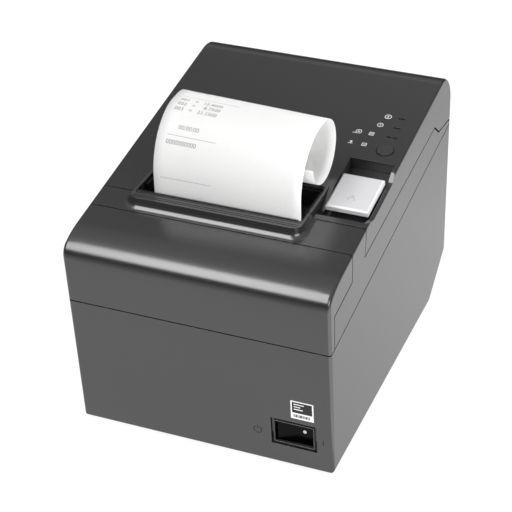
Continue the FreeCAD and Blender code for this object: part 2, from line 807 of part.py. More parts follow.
def upper_case(case):
    rim = common(exit_rim(), case.front_region)
    deep = (s.platen_z, s.top_height * 2)
    tools = [exit_hole(s.rim_wall / 2, deep), exit_corner(term(0), deep)]
    half_gap = s.seam_gap / 2
    room = s.gear_x + s.gear_width + s.motor_shaft_radius + s.tongue_gap
    for x, y in (((-room, 0), -s.cover_front_left_y), ((0, room), -s.cover_front_right_y)):
        tools.append(block(x, (y - half_gap, -s.exit_back_y), deep))
    deck = fuse(cut(case.upper, *tools), rim)
    blend = doc.addObject("Part::Fillet", "rim_blend")
    blend.Base = deck
    radius = s.rim_fillet.number
    blend.Edges = [(i, radius, radius) for i, edge in enumerate(deck.Shape.Edges, 1) if on_rim_foot(edge)]
    doc.recompute()
    shell = cut(blend, rod(s.hinge_sweep, "x", (-BEYOND, BEYOND), HINGE_AT), *rim_grooves())
    latch_y, latch_z = LATCH_AT
    boss = LATCH_RADIUS + s.latch_boss
    near_x = s.post_x + 1
    web_z = s.tongue + s.seam_gap + s.tongue_gap
    boss_y, boss_top = (latch_y - boss, latch_y + boss), latch_z + boss + 2
    added = [rod(boss, "x", (near_x, INNER - s.tongue_gap), LATCH_AT),
             block((near_x, INNER - s.tongue_gap), boss_y, (latch_z, boss_top)),
             block((near_x, INNER + 0.5), boss_y, (lower_seam(latch_y) + web_z, boss_top))]
    for x, y in post_places():
        top = lower_seam(y) + 10
        outer = INNER + 0.5 if x.number > 0 else -INNER - 0.5
        web = (x, outer) if x.number > 0 else (outer, x)
        added.append(rod(s.post_radius, "z", (BASE + s.floor + 2, top), (x, y)))
        added.append(block(web, (y - 1.2, y + 1.2), (lower_seam(y) + web_z, top)))
    for span in knuckle_spans("case"):
        reach = s.hinge_knuckle_radius
        added.append(rod(reach, "x", span, HINGE_AT))
        foot_z = lower_seam(HINGE_Y) + web_z
        added.append(block(span, (HINGE_Y - reach, HINGE_Y + reach), (foot_z, s.hinge_z)))
    tools = [rod(LATCH_RADIUS, "x", (near_x - 1, INNER - 1), LATCH_AT),
             rod(s.hinge_pin_radius + s.shaft_fit, "x", (-s.hinge_barrel, s.hinge_barrel), HINGE_AT)]
    tools += [rod(s.screw_radius, "z", (BASE, BASE + s.floor + s.screw_bore), at) for at in post_places()]
    return piece("upper_case", cut(fuse(shell, *added), *tools))


def pocket_outline(depth, back, rise, extra):
    """A hollow for the lever in the side view: a ramp down, then a floor that may rise to the back."""
    front, back, low = -s.pocket_front_y - extra, back + extra, -depth - extra
    above = depth * 2
    return [on_top(front, 0), on_top(-s.lever_front_y, low), on_top(back, low + rise), on_top(back, above),
            on_top(front, above)]


def scoop_outline():
    """The dip in the right edge beside the lever, which drops behind the lever and runs on to the front."""
    deep, back, drop = -s.scoop_deep, s.scoop_back_y, s.scoop_drop
    front = -s.pocket_front_y
    above = s.pocket_deep * 2
    curve = [on_top(back - drop * share, deep * down)
             for share, down in ((1, 1), (0.75, 0.9), (0.5, 0.5), (0.25, 0.1), (0, 0))]
    return [on_top(front, 0), on_top(-s.lever_front_y, deep), *curve,
            on_top(back, above), on_top(front, above)]


def light_places():
    """Middle and length of each light: one in each of the first two rows and two short ones in the last."""
    rows = [s.light_first_y - s.light_step * step for step in range(3)]
    pair = [(s.light_x + side * s.light_pair, rows[2], s.light_short) for side in (-1, 1)]
    return [(s.light_x, rows[0], s.light_long), (s.light_x, rows[1], s.light_long), *pair]


def light_box(x, y, long, extra, height):
    along = y / cosine(s.top_slope)
    half, wide = long / 2 + extra, s.light_wide / 2 + extra
    return sloped_block((x - half, x + half), (along - wide, along + wide), height)


def button_rod(radius, low, high):
    """A round bar square to the sloping top, at the feed button."""
    bar = doc.addObject("Part::Cylinder", "button_rod")
    along = s.button_y / cosine(s.top_slope)
    bind(bar, "Radius", radius)
    bind(bar, "Height", high - term(low))
    bar.Placement.Rotation = FreeCAD.Rotation(FreeCAD.Vector(1, 0, 0), s.top_slope.number)
    bind(bar, "Placement.Rotation.Angle", s.top_slope)
    place(bar, s.button_x, *on_top(along, low))
    return bar


def roll_cover(case):
    deep = (s.platen_z, s.top_height * 2)
    rim = common(exit_rim(), case.back_region)
    shell = fuse(cut(case.cover, exit_hole(s.rim_wall / 2, deep)), rim)
    left, right = s.lever_left_x - s.pocket_side, s.lever_right_x + s.pocket_side
    none = term(0)
    deep, back, rise = s.pocket_deep, s.pocket_back_y, s.valley_deep
    tub = prism("side", pocket_outline(deep, back, none, s.wall), (left - s.wall, HALF))
    pocket = prism("side", pocket_outline(deep, back, none, none), (left, right))
    rim_back = -s.exit_back_y + s.rim_wall
    valley_tub = prism("side", pocket_outline(rise, rim_back, rise, s.wall), (s.exit_right_x, left))
    valley_x = (s.exit_right_x + s.rim_wall, left + s.pocket_side)
    valley = prism("side", pocket_outline(rise, rim_back, rise, none), valley_x)
    arm_end = s.lever_arm_x + s.lever_arm_wide
    pivot_y = -s.lever_pivot_y
    slot_x = (s.lever_arm_x - s.lever_ear_gap / 2, arm_end + s.lever_ear_gap / 2)
    slot = block(slot_x, (pivot_y - 6.6, pivot_y + 4.7), (s.lever_pivot_z, s.top_height))
    tools = [
        pocket, valley, slot,
        prism("side", scoop_outline(), (s.lever_right_x, BEYOND)),
        button_rod(s.button_radius + s.button_gap, -20, 20),
        block((-s.hinge_barrel - 0.4, s.hinge_barrel + 0.4), (HINGE_Y - 3, BEYOND), (0, s.hinge_z)),
    ]
    tools += [light_box(x, y, long, s.light_gap, (-6, 6)) for x, y, long in light_places()]
    for low, high in knuckle_spans("case"):
        room = (low - s.hinge_gap, high + s.hinge_gap)
        tools.append(rod(s.hinge_knuckle_radius + s.hinge_gap, "x", room, HINGE_AT))
        tools.append(block(room, (HINGE_Y, BEYOND), (0, s.hinge_z + s.hinge_knuckle_radius + s.hinge_gap)))
    added = []
    pocket_z = top_z(pivot_y) - s.pocket_deep - 1
    for x in (s.lever_arm_x - s.lever_ear_gap - s.lever_ear, arm_end + s.lever_ear_gap):
        added.append(block((x, x + s.lever_ear), (pivot_y - 4, pivot_y + 4), (s.lever_pivot_z - 4, pocket_z)))
    for x, y in holder_places():
        added.append(rod(s.post_radius, "z", (HOLDER_TOP, top_z(y) - 1), (x, y)))
    for along in (s.button_y + 6, s.light_first_y - 2):
        post_x = (s.button_x - 8, s.button_x - 5)
        added.append(sloped_block(post_x, (along - 1.5, along + 1.5), (CONTROL_LOW, -1)))
    body = cut(fuse(shell, common(tub, case.envelope), common(valley_tub, case.envelope)), *tools)
    added += [rod(s.hinge_knuckle_radius, "x", span, HINGE_AT) for span in knuckle_spans("cover")]
    bores = [rod(s.hinge_pin_radius + s.shaft_fit, "x", (-s.hinge_barrel, s.hinge_barrel), HINGE_AT),
             rod(s.lever_pin_radius, "x", (s.lever_arm_x - 4, arm_end + 4), LEVER_AT)]
    bores += [rod(s.screw_radius, "z", (HOLDER_Z, HOLDER_TOP + 6), at) for at in holder_places()]
    return piece("roll_cover", cut(fuse(body, *added), *bores))


def feet():
    pads = []
    for at in FEET:
        foot = rod(s.foot_radius - s.foot_gap, "z", (0, BASE + s.foot_seat), at)
        pads.append(cut(foot, rod(s.foot_radius / 2, "z", (-1, 0.6), at)))
    piece("feet", group(*pads))


def case_fittings():
    seat_z = BASE + s.screw_head
    piece("case_screws", group(*[screw(x, y, seat_z, s.screw_long) for x, y in post_places()]))
    wide = (-s.board_half, s.board_half)
    top = s.board_z + s.board_thick
    board = block(wide, (-s.board_front_y, -s.board_back_y), (s.board_z, top))
    holes = [rod(s.screw_radius + 0.1, "z", (0, s.board_z * 2), at) for at in board_places()]
    piece("main_board", cut(board, *holes))
    middle = -(s.board_front_y + s.board_back_y) / 2
    chips = [block((x - side / 2, x + side / 2), (middle - side / 2, middle + side / 2), (top, top + 1.6))
             for x, side in ((-30.0, 14.0), (-6.0, 10.0))]
    piece("board_chips", group(*chips))
    reach = s.capacitor_radius * 2 + 3
    span = (top, top + s.capacitor_high)
    cans = [rod(s.capacitor_radius, "z", span, (s.board_half / 2 + x, middle + reach))
            for x in (-reach / 2, reach / 2)]
    piece("capacitors", group(*cans))
    screws = []
    for x, y in board_places():
        head = rod(s.screw_head_radius, "z", (top, top + s.screw_head), (x, y))
        screws.append(fuse(head, rod(s.screw_radius, "z", (BASE + s.floor + 0.5, top), (x, y))))
    piece("board_screws", group(*screws))


def paper_bin():
    wall = s.bin_wall
    centre = (s.roll_y, s.bin_z)

    def trough(extra):
        radius = s.bin_radius + extra
        span = (-s.bin_half - extra, s.bin_half + extra)
        y = (s.roll_y - radius, s.roll_y + radius)
        mouth = block(span, y, (s.bin_z, s.bin_top_z + s.bin_radius - extra))
        return fuse(rod(radius, "x", span, centre), mouth)

    lip = block((-s.bin_half, s.bin_half), (-s.chassis_back_y, s.roll_y - s.bin_radius * 0.75),
                (s.bin_lip_z, s.bin_top_z * 2))
    above = block((-HALF, HALF), (-HALF, BEYOND), (s.bin_top_z, s.bin_top_z * 2))
    piece("paper_bin", cut(trough(wall), trough(term(0)), lip, above))
    outside = s.bin_half + wall
    sensor = block((outside, outside + 5), (s.roll_y - 6, s.roll_y + 6), (s.bin_z - 14, s.bin_z - 4))
    piece("paper_end_sensor", sensor)


def interface_panel():
    wall = s.wall
    low, high = s.panel_low_z - wall, s.panel_high_z + wall
    wide = (-s.panel_half - wall, s.panel_half + wall)
    board_y = PANEL_Y - s.sheet - s.panel_board_gap
    middle = (s.panel_low_z + s.panel_high_z) / 2
    sockets = {"power_inlet": (s.inlet_inset - s.panel_half, s.socket_wide, s.socket_high),
               "data_socket": (-s.data_side, s.data_wide, s.data_high),
               "drawer_socket": (s.panel_half - s.drawer_inset, s.socket_wide, s.socket_high)}
    holes = []
    for label, (x, width, height) in sockets.items():
        width, height = width / 2, height / 2
        box = (x - width, x + width), (middle - height, middle + height)
        shell = block(box[0], (board_y, PANEL_Y + 1), box[1])
        if label == "power_inlet":
            hollow = tube(5, 1.2, "y", (board_y + 3, PANEL_Y + 2), (x, middle))
        else:
            hollow = block((x - width + 1.5, x + width - 1.5), (board_y + 2.5, PANEL_Y + 2),
                           (middle - height + 2, middle + height - 2))
        piece(label, cut(shell, hollow))
        holes.append(block((x - width - 0.2, x + width + 0.2), (0, BEYOND),
                           (middle - height - 0.2, middle + height + 0.2)))
    ends = [(side * (s.panel_half - s.panel_screw_inset), middle) for side in (-1, 1)]
    holes += [rod(s.screw_radius + 0.1, "y", (0, BEYOND), at) for at in ends]
    piece("interface_panel", cut(block(wide, (PANEL_Y - s.sheet, PANEL_Y), (low, high)), *holes))
    board = block(wide, (board_y - s.board_thick, board_y), (s.panel_low_z, s.panel_high_z))
    drilled = [rod(s.screw_radius - 0.3, "y", (0, BEYOND), at) for at in ends]
    piece("interface_board", cut(board, *drilled))
    span = (board_y, PANEL_Y - s.sheet)
    stands = [tube(s.screw_radius + s.sheet, s.screw_radius, "y", span, at) for at in ends]
    piece("panel_standoffs", group(*stands))
    screws = [fuse(rod(s.screw_head_radius - 0.5, "y", (PANEL_Y, PANEL_Y + 1.6), at),
                   rod(s.screw_radius, "y", (PANEL_Y - s.sheet - 3.5, PANEL_Y), at)) for at in ends]
    piece("panel_screws", group(*screws))


def rocker_outline(extra):
    """The rocker seen from above, before it tilts: two faces that rise to their outer ends."""
    half = s.switch_wide / 2 - s.rocker_side + extra
    face = front_y(s.switch_z) + s.switch_sunk - extra
    lift = tangent(s.rocker_tilt) * half
    x = s.switch_x
    return [(x - half, face - lift), (x, face), (x + half, face - lift), (x + half, face + 4 + extra),
            (x, face + 8 + extra), (x - half, face + 4 + extra)]


def power_switch():
    face = front_y(s.switch_z)
    snug = switch_box(term(-0.1))
    hollow = switch_box(term(-0.9))
    front = face + s.wall / 2
    shell = block(snug[0], (front, front + s.switch_deep), snug[1])
    room = block(hollow[0], (front - 1, front + s.switch_deep - 2), hollow[1])
    axle_y = face + s.switch_sunk + s.rocker_pin_deep
    pin = rod(s.rocker_pin_radius, "z", (hollow[1][0] - 0.5, hollow[1][1] + 0.5), (s.switch_x, axle_y))
    piece("switch_body", fuse(cut(shell, room), pin))
    body = prism("top", rocker_outline(term(0)), (hollow[1][0] + s.rocker_gap, hollow[1][1] - s.rocker_gap))
    bore = rod(s.rocker_pin_radius + s.shaft_fit, "z", (0, s.top_height), (s.switch_x, axle_y))
    rocker = cut(body, bore)
    turned = doc.addObject("Part::Feature", "tilted_rocker")
    turned.Shape = rocker.Shape.copy().rotate(
        FreeCAD.Vector(s.switch_x.number, axle_y.number, 0), FreeCAD.Vector(0, 0, 1), s.rocker_tilt.number)
    piece("power_rocker", turned)


def gear_solid(label, teeth, axis, x, at, phase, bore):
    """A spur gear: involute teeth drawn in the side view, a bore, and the turn that puts it in mesh."""
    wire = fcgear.FCWireBuilder()
    module = s.gear_module.number if axis == "x" else s.rack_module.number
    involute.CreateExternalGear(wire, module, int(round(teeth.number)), 20.0, True)
    outline_wire = Part.Wire([edge.toShape() for edge in wire.wire])
    width = (x[1] - term(x[0])).number
    solid = Part.Face(outline_wire).extrude(FreeCAD.Vector(0, 0, width))
    if bore is not None:
        solid = solid.cut(Part.makeCylinder(bore.number, width))
    gear = doc.addObject("Part::Feature", label)
    gear.Shape = solid
    spin = FreeCAD.Rotation(FreeCAD.Vector(0, 0, 1), phase)
    start = term(x[0]).number
    if axis == "x":
        ahead, up, right = FreeCAD.Vector(0, 1, 0), FreeCAD.Vector(0, 0, 1), FreeCAD.Vector(1, 0, 0)
        lay = FreeCAD.Rotation(ahead, up, right, "ZXY")
        gear.Placement = FreeCAD.Placement(FreeCAD.Vector(start, at[0].number, at[1].number), lay * spin)
    else:
        gear.Placement = FreeCAD.Placement(FreeCAD.Vector(at[0].number, at[1].number, start), spin)
    return gear


def pitch(teeth, module):
    return teeth * module / 2


def feed_places():
    """Centres of the reduction gear and the motor, and the directions between the meshing gears."""
    lift_y, lift_z = HINGE_AT[1] - PLATEN_AT[1], HINGE_AT[0] - PLATEN_AT[0]
    away = math.degrees(math.atan2(-lift_z.number, lift_y.number))
    first = pitch(s.platen_teeth + s.idler_teeth, s.gear_module) + s.mesh_gap
    second = pitch(s.idler_teeth + s.pinion_teeth, s.gear_module) + s.mesh_gap
    down = term(away)
    idler = (PLATEN_AT[0] + first * cosine(down), PLATEN_AT[1] + first * sine(down))
    motor = (idler[0] + second * cosine(s.motor_turn), idler[1] + second * sine(s.motor_turn))
    return idler, motor, away


def mesh_phase(own_teeth, direction, other_teeth, other_phase):
    """The turn of a gear that sets a gap against the other gear's tooth, looking along direction."""
    other_step = 360.0 / other_teeth
    tooth = ((direction + 180 - other_phase) % other_step) / other_step
    own_step = 360.0 / own_teeth
    return direction + own_step / 2 + tooth * own_step


def feed_train():
    x = (-s.gear_x - s.gear_width, -s.gear_x)
    idler_at, motor_at, down = feed_places()
    fit = s.platen_shaft_radius
    piece("platen_gear", gear_solid("gear", s.platen_teeth, "x", x, PLATEN_AT, down, fit))
    back = mesh_phase(s.idler_teeth.number, down + 180, s.platen_teeth.number, down)
    stud = s.stud_radius
    piece("reduction_gear", gear_solid("gear", s.idler_teeth, "x", x, idler_at, back, stud + s.shaft_fit))
    turn = s.motor_turn.number
    own = mesh_phase(s.pinion_teeth.number, turn + 180, s.idler_teeth.number, back)
    piece("motor_pinion", gear_solid("gear", s.pinion_teeth, "x", x, motor_at, own, s.motor_shaft_radius))
    piece("gear_stud", fuse(rod(stud, "x", (x[0] - 1.4, -s.chassis_x), idler_at),
                            rod(stud + s.stud_flange, "x", (x[0] - 1.4, x[0] - 0.3), idler_at)))
    shaft = rod(s.motor_shaft_radius, "x", (x[0] - 0.6, -s.chassis_x + 4), motor_at)
    piece("motor_shaft", shaft)
    can = rod(s.motor_radius, "x", (-s.chassis_x, -s.chassis_x + s.motor_length), motor_at)
    socket = rod(s.motor_shaft_radius + s.shaft_fit, "x", (-s.chassis_x - 1, -s.chassis_x + 4.3), motor_at)
    piece("feed_motor", cut(can, socket))


def chassis():
    """Sheet-metal frame of the print mechanism: two cheeks, a floor, a front plate and a spring plate."""
    front, back = -s.chassis_front_y, -s.chassis_back_y
    low, high = s.chassis_low_z, s.chassis_high_z
    tall = s.blade_z - s.blade_gap - s.sheet
    step = -s.cutter_back_y - 2
    inner, outer = s.chassis_x, s.chassis_x + s.sheet
    parts, tools = [], []
    idler_at, motor_at, down = feed_places()
    for x in ((-outer, -inner), (inner, outer)):
        parts.append(prism("side", [(front, low), (back, low), (back, high), (step, high), (step, tall),
                                    (front, tall)], x))
    room = s.bearing_radius + s.bearing_gap
    across = (-outer - 1, outer + 1)
    tools.append(rod(room, "x", across, PLATEN_AT))
    tools.append(block(across, (PLATEN_AT[0] - room, PLATEN_AT[0] + room), (PLATEN_AT[1], tall * 2)))
    tools.append(rod(s.head_pin_radius, "x", across, HEAD_AT))
    tools.append(rod(s.stud_radius, "x", (-outer - 1, -inner + 1), idler_at))
    tools.append(rod(s.motor_shaft_radius + 1, "x", (-outer - 1, -inner + 1), motor_at))
    whole = (-inner - s.sheet, inner + s.sheet)
    parts.append(block(whole, (front, back), (low, low + s.sheet)))
    parts.append(block(whole, (front, front + s.sheet), (low, low + 26)))
    plate_y = HEAD_AT[0] - s.head_spring_long
    parts.append(block(whole, (plate_y - s.sheet, plate_y), (s.head_low_z + 2, high)))
    for x in ((-outer, -inner), (inner, outer)):
        for y in (-s.leg_front_y, -s.leg_back_y):
            parts.append(block(x, (y, y + s.leg_wide), (BASE + s.floor, low + s.sheet)))
    piece("chassis", cut(fuse(*parts), *tools))


def spring(wire, radius, axis, span, turns, at):
    """A coil spring pressed close: a stack of touching rings that fills span."""
    rings = []
    start, end = span[0] + wire, span[1] - wire
    for turn in range(turns):
        ring = doc.addObject("Part::Torus", "ring")
        bind(ring, "Radius1", radius)
        bind(ring, "Radius2", wire)
        ring.Placement.Rotation = FreeCAD.Rotation(AXES[axis], TURN[axis])
        along = start + (end - start) * (turn / (turns - 1))
        if axis == "x":
            place(ring, along, at[0], at[1])
        else:
            place(ring, at[0], along, at[1])
        rings.append(ring)
    return fuse(*rings)


def print_head():
    half = s.platen_half
    low, high = s.head_low_z, s.head_high_z
    sink_back = HEAD_BACK - s.head_thick
    piece("thermal_head", block((-half, half), (sink_back, HEAD_BACK), (low, high)))
    sink = block((-half, half), (sink_back - s.head_sink, sink_back), (s.head_pivot_z, high))
    hub = rod(s.head_pin_radius + 1.5, "x", (-half, half), HEAD_AT)
    bore = rod(s.head_pin_radius + s.shaft_fit, "x", (-half - 1, half + 1), HEAD_AT)
    piece("head_heatsink", cut(fuse(sink, hub), bore))
    end = s.chassis_x + s.sheet
    piece("head_pivot_pin", rod(s.head_pin_radius, "x", (-end, end), HEAD_AT))
    span = (HEAD_AT[0] - s.head_spring_long, HEAD_AT[0])
    height = high - s.head_spring_drop
    coils = [spring(s.head_spring_wire, s.head_spring_radius, "y", span, 10, (side * s.head_spring_x, height))
             for side in (-1, 1)]
    piece("head_springs", group(*coils))


def platen():
    across = (-s.platen_half, s.platen_half)
    piece("platen_roller", tube(s.platen_radius, s.platen_shaft_radius, "x", across, PLATEN_AT))
    reach = (-s.gear_x - s.gear_width - s.motor_shaft_radius, s.chassis_x + s.sheet + s.bearing_gap * 2)
    piece("platen_shaft", rod(s.platen_shaft_radius, "x", reach, PLATEN_AT))
    near_x, far_x = CHEEK_OUTER, s.chassis_x + s.sheet + s.bearing_gap
    inner = s.platen_shaft_radius + s.shaft_fit
    ends = ((-far_x, -near_x), (near_x, far_x))
    rings = [tube(s.bearing_radius, inner, "x", span, PLATEN_AT) for span in ends]
    piece("platen_bearings", group(*rings))


def platen_holder():
    """The cover's inner carrier: cheeks for the platen, the fixed blade's plate and the dark exit pit."""
    front = PAPER_BACK + s.blade_gap
    clear = s.tear_gap
    left, right = -s.exit_left_x + clear, s.exit_right_x - clear
    back = -s.exit_back_y - clear
    pit_front = -s.cover_front_right_y + s.seam_gap
    cheek_front, cheek_back = PLATEN_AT[0] - s.bearing_radius, PLATEN_AT[0] + s.bearing_radius + s.cheek
    wall = s.cheek
    high = (HOLDER_Z, HOLDER_TOP)
    plate = fuse(block((-CHEEK_OUTER, right), (front + s.blade_gap, cheek_back), high),
                 block((-CHEEK_OUTER, CHEEK_OUTER), (cheek_front, cheek_back), high))
    tail_plate = block((left, right), (pit_front, back + s.screw_head_radius * 2 + 2), (HOLDER_Z, HOLDER_TOP))
    rim_low = top_z(-s.exit_back_y) - s.wall
    within = exit_hole(-clear, (HOLDER_Z, rim_low))
    tub = common(block((left, right), (pit_front, back), (HOLDER_Z, rim_low)), within)
    hollow = block((left + wall, right - wall), (-BEYOND, back - wall), (HOLDER_TOP, s.top_height))
    parts = [plate, tail_plate, cut(tub, hollow)]
    for x in ((-CHEEK_OUTER, -CHEEK_OUTER + s.cheek), (CHEEK_OUTER - s.cheek, CHEEK_OUTER)):
        parts.append(rod(s.bearing_radius, "x", x, PLATEN_AT))
        parts.append(block(x, (cheek_front, cheek_back), (s.platen_z, HOLDER_TOP)))
    bore = rod(s.platen_shaft_radius + s.shaft_fit, "x", (-HALF, HALF), PLATEN_AT)
    deep = (s.platen_z, s.top_height)
    holes = [rod(s.screw_radius, "z", deep, at) for at in holder_places() + blade_screws()]
    piece("platen_holder", cut(fuse(*parts), bore, *holes))
    blade_x = (-s.platen_half - s.cheek, right)
    blade_y = (front, front + s.fixed_blade_deep)
    blade_holes = [rod(s.screw_radius, "z", deep, at) for at in blade_screws()]
    piece("fixed_blade", cut(block(blade_x, blade_y, (FIXED_Z, HOLDER_Z)), *blade_holes))
    screws = [screw_up(x, y, FIXED_Z, s.blade_thick + s.wall) for x, y in blade_screws()]
    screws += [screw_up(x, y, HOLDER_Z, s.wall + 5) for x, y in holder_places()]
    piece("holder_screws", group(*screws))


def blade_screws():
    return [(side * 30, PAPER_BACK + s.fixed_blade_deep - 2.5) for side in (-1, 1)]


def screw_up(x, y, z, length):
    """A low-head screw driven upwards, its head under z."""
    head = rod(s.screw_head_radius - 0.4, "z", (z - 1.2, z), (x, y))
    return fuse(head, rod(s.screw_radius, "z", (z - 1.2, z + length), (x, y)))


def cutter():
    front, back = -s.cutter_front_y, -s.cutter_back_y
    plate_z = s.blade_z - s.blade_gap
    guide_y = -s.cutter_front_y + s.guide_inset
    guide_top = BLADE_TOP + s.blade_gap
    plate = block((-s.cutter_base_left, s.cutter_base_right), (front, back), (plate_z - s.sheet, plate_z))
    studs = []
    for side in (-1, 1):
        at = (side * s.guide_x, guide_y)
        studs.append(rod(s.guide_radius, "z", (plate_z - s.sheet, guide_top), at))
        studs.append(rod(s.guide_radius + s.guide_head, "z", (guide_top, guide_top + s.guide_head / 2), at))
    shaft_hole = rod(s.cutter_shaft_radius + s.shaft_fit, "z", (0, s.top_height), CUTTER_AT)
    piece("cutter_base", cut(fuse(plate, *studs), shaft_hole))
    edge = PAPER_FRONT - s.blade_rest_gap
    narrow = s.paper_width / 2 + 1.4
    tail = -s.blade_back_y
    shoulder = edge - 3
    tab = s.blade_half + s.cutter_tab
    steel = prism("top", [
        (-s.blade_half, tail), (tab, tail), (tab, shoulder - 4), (s.blade_half, shoulder - 4),
        (s.blade_half, shoulder), (narrow, shoulder), (narrow, edge), (0, edge - 1.2), (-narrow, edge),
        (-narrow, shoulder), (-s.blade_half, shoulder)], (s.blade_z, BLADE_TOP))
    slots = []
    for side in (-1, 1):
        x = side * s.guide_x
        half = s.guide_radius + s.blade_gap
        far_y = guide_y - s.blade_stroke - s.blade_gap
        slots.append(block((x - half, x + half), (far_y, guide_y), (s.platen_z, s.top_height)))
        for y in (far_y, guide_y):
            slots.append(rod(half, "z", (s.platen_z, s.top_height), (x, y)))
    piece("moving_blade", cut(steel, *slots, *rack_gaps(tab)))
    low, high = s.blade_z - 0.1, BLADE_TOP + 0.1
    gear = gear_solid("gear", s.cutter_teeth, "z", (low, high), CUTTER_AT, 180.0, s.cutter_shaft_radius)
    piece("cutter_pinion", gear)
    motor_top = plate_z - s.sheet
    dial_z = (high + s.blade_gap, high + s.blade_gap + s.dial_thick)
    shaft = rod(s.cutter_shaft_radius, "z", (motor_top - 4, dial_z[1]), CUTTER_AT)
    dial = rod(s.dial_radius, "z", dial_z, CUTTER_AT)
    notches = []
    for step in range(12):
        turn = math.radians(30 * step)
        reach = s.dial_radius + 0.5
        at = (CUTTER_AT[0] + reach * math.cos(turn), CUTTER_AT[1] + reach * math.sin(turn))
        notches.append(rod(1.2, "z", (high, high + 3), at))
    piece("cutter_shaft", shaft)
    piece("cutter_dial", cut(dial, rod(s.cutter_shaft_radius, "z", (0, s.top_height), CUTTER_AT), *notches))
    can = rod(s.motor_radius, "z", (motor_top - s.cutter_motor_long, motor_top), CUTTER_AT)
    socket = rod(s.cutter_shaft_radius + s.shaft_fit, "z", (motor_top - 4.3, s.top_height), CUTTER_AT)
    piece("cutter_motor", cut(can, socket))


def rack_gaps(edge_x):
    """The gaps between the rack's teeth on the right edge of the blade, one facing the pinion's tooth."""
    step = math.pi * s.rack_module
    slope = math.tan(math.radians(20))
    deep = 2.25 * s.rack_module
    pitch_x = edge_x - s.rack_module
    gaps = []
    for tooth in range(-4, 5):
        y = -s.cutter_pinion_y + tooth * step
        root = step / 4 - 1.25 * s.rack_module * slope
        tip = step / 4 + 1.25 * s.rack_module * slope
        outer = pitch_x + 1.25 * s.rack_module
        gaps.append(prism("top", [(edge_x - deep, y - root), (outer, y - tip), (outer, y + tip),
                                  (edge_x - deep, y + root)], (s.platen_z, s.top_height)))
    return gaps


def tear_plate():
    """The ribbed plate in front of the paper, seated on the inside of the exit frame."""
    x = (-s.exit_left_x, s.exit_right_x)
    front, back = -s.exit_front_y + s.tear_gap, PAPER_FRONT - s.blade_gap
    low, high = HOLDER_Z, s.rim_height - s.tear_drop
    plate = prism("side", [(front, low), (back, low), (back, high - s.tear_drop), (front, high)], x)
    gaps = []
    for rib in (1, 2):
        y = front + (back - front) * (rib / 3)
        groove = (y - s.rim_groove / 2, y + s.rim_groove / 2)
        gaps.append(block(x, groove, (high - s.rim_groove_deep, high + 1)))
    rim_low = top_z(-s.exit_front_y) - s.wall
    room = fuse(exit_hole(-s.tear_gap, (low, high)), exit_corner(-s.tear_gap, (rim_low, high)))
    piece("tear_plate", cut(common(plate, room), *gaps))


def paper():
    half = s.paper_width / 2
    across = (-half, half)
    piece("paper_roll", tube(s.roll_radius, s.roll_core_radius, "x", across, ROLL_AT))
    piece("roll_core", tube(s.roll_core_radius, s.roll_core_bore, "x", across, ROLL_AT))
    thin = s.paper_thick / 2
    climb, lean = s.web_slope, s.exit_lean
    off = s.roll_radius + s.roll_gap + thin
    low_y, low_z = ROLL_AT[0] - off * sine(climb), ROLL_AT[1] - off * cosine(climb)
    step_y, step_z = thin * sine(climb), thin * cosine(climb)
    bend_y = -s.nip_y
    bend_z = low_z + (low_y - bend_y) * tangent(climb)
    top = s.blade_z - s.blade_gap * 2
    kink_z = top - (s.paper_y - s.nip_y) / tangent(lean)
    edge = thin / cosine(lean)
    web = prism("side", [
        (low_y - step_y, low_z - step_z), (low_y + step_y, low_z + step_z),
        inset(bend_y, bend_z, 180, 270 - climb, thin), inset(bend_y, kink_z, 180, 180 + lean, thin),
        (-s.paper_y + edge, top), (-s.paper_y - edge, top),
        inset(bend_y, kink_z, 180, 180 + lean, -thin),
        inset(bend_y, bend_z, 180, 270 - climb, -thin)], across)
    piece("paper_web", web)
    piece("receipt", receipt())


def receipt():
    """A cut slip standing in the exit: straight up, bent back, then curled over; one closed sheet."""
    thick = s.paper_thick.number
    low = (FIXED_Z + 0.3).number
    lift = s.rim_height.number + s.receipt_lift.number
    start = FreeCAD.Vector(0, -s.paper_y.number, low)
    turn = FreeCAD.Vector(0, -s.paper_y.number, lift)
    bend, curl, flat = s.receipt_bend.number, s.receipt_curl.number, s.receipt_flat.number
    bend_centre = turn + FreeCAD.Vector(0, bend, 0)
    crest = bend_centre + FreeCAD.Vector(0, 0, bend)
    curl_centre = crest + FreeCAD.Vector(0, flat, -curl)

    def around(centre, radius, angle):
        angle = math.radians(angle)
        return centre + FreeCAD.Vector(0, radius * math.cos(angle), radius * math.sin(angle))

    def side(offset):
        shift = FreeCAD.Vector(0, -offset, 0)
        end = 90 - s.receipt_turn.number
        bow = Part.Arc(around(bend_centre, bend + offset, 180), around(bend_centre, bend + offset, 135),
                       around(bend_centre, bend + offset, 90))
        loop = Part.Arc(around(curl_centre, curl + offset, 90),
                        around(curl_centre, curl + offset, (90 + end) / 2),
                        around(curl_centre, curl + offset, end))
        lines = [Part.LineSegment(start + shift, bow.StartPoint), bow,
                 Part.LineSegment(bow.EndPoint, loop.StartPoint), loop]
        return [line.toShape() for line in lines]

    outer, inner = side(thick / 2), side(-thick / 2)
    ends = [Part.LineSegment(outer[-1].Vertexes[-1].Point, inner[-1].Vertexes[-1].Point).toShape(),
            Part.LineSegment(inner[0].Vertexes[0].Point, outer[0].Vertexes[0].Point).toShape()]
    wire = Part.Wire(Part.sortEdges(outer + inner + ends)[0])
    width = s.paper_width.number
    sheet_of_paper = doc.addObject("Part::Feature", "receipt_sheet")
    sheet_of_paper.Shape = Part.Face(wire).extrude(FreeCAD.Vector(width, 0, 0))
    sheet_of_paper.Placement.Base = FreeCAD.Vector(-width / 2, 0, 0)
    return sheet_of_paper


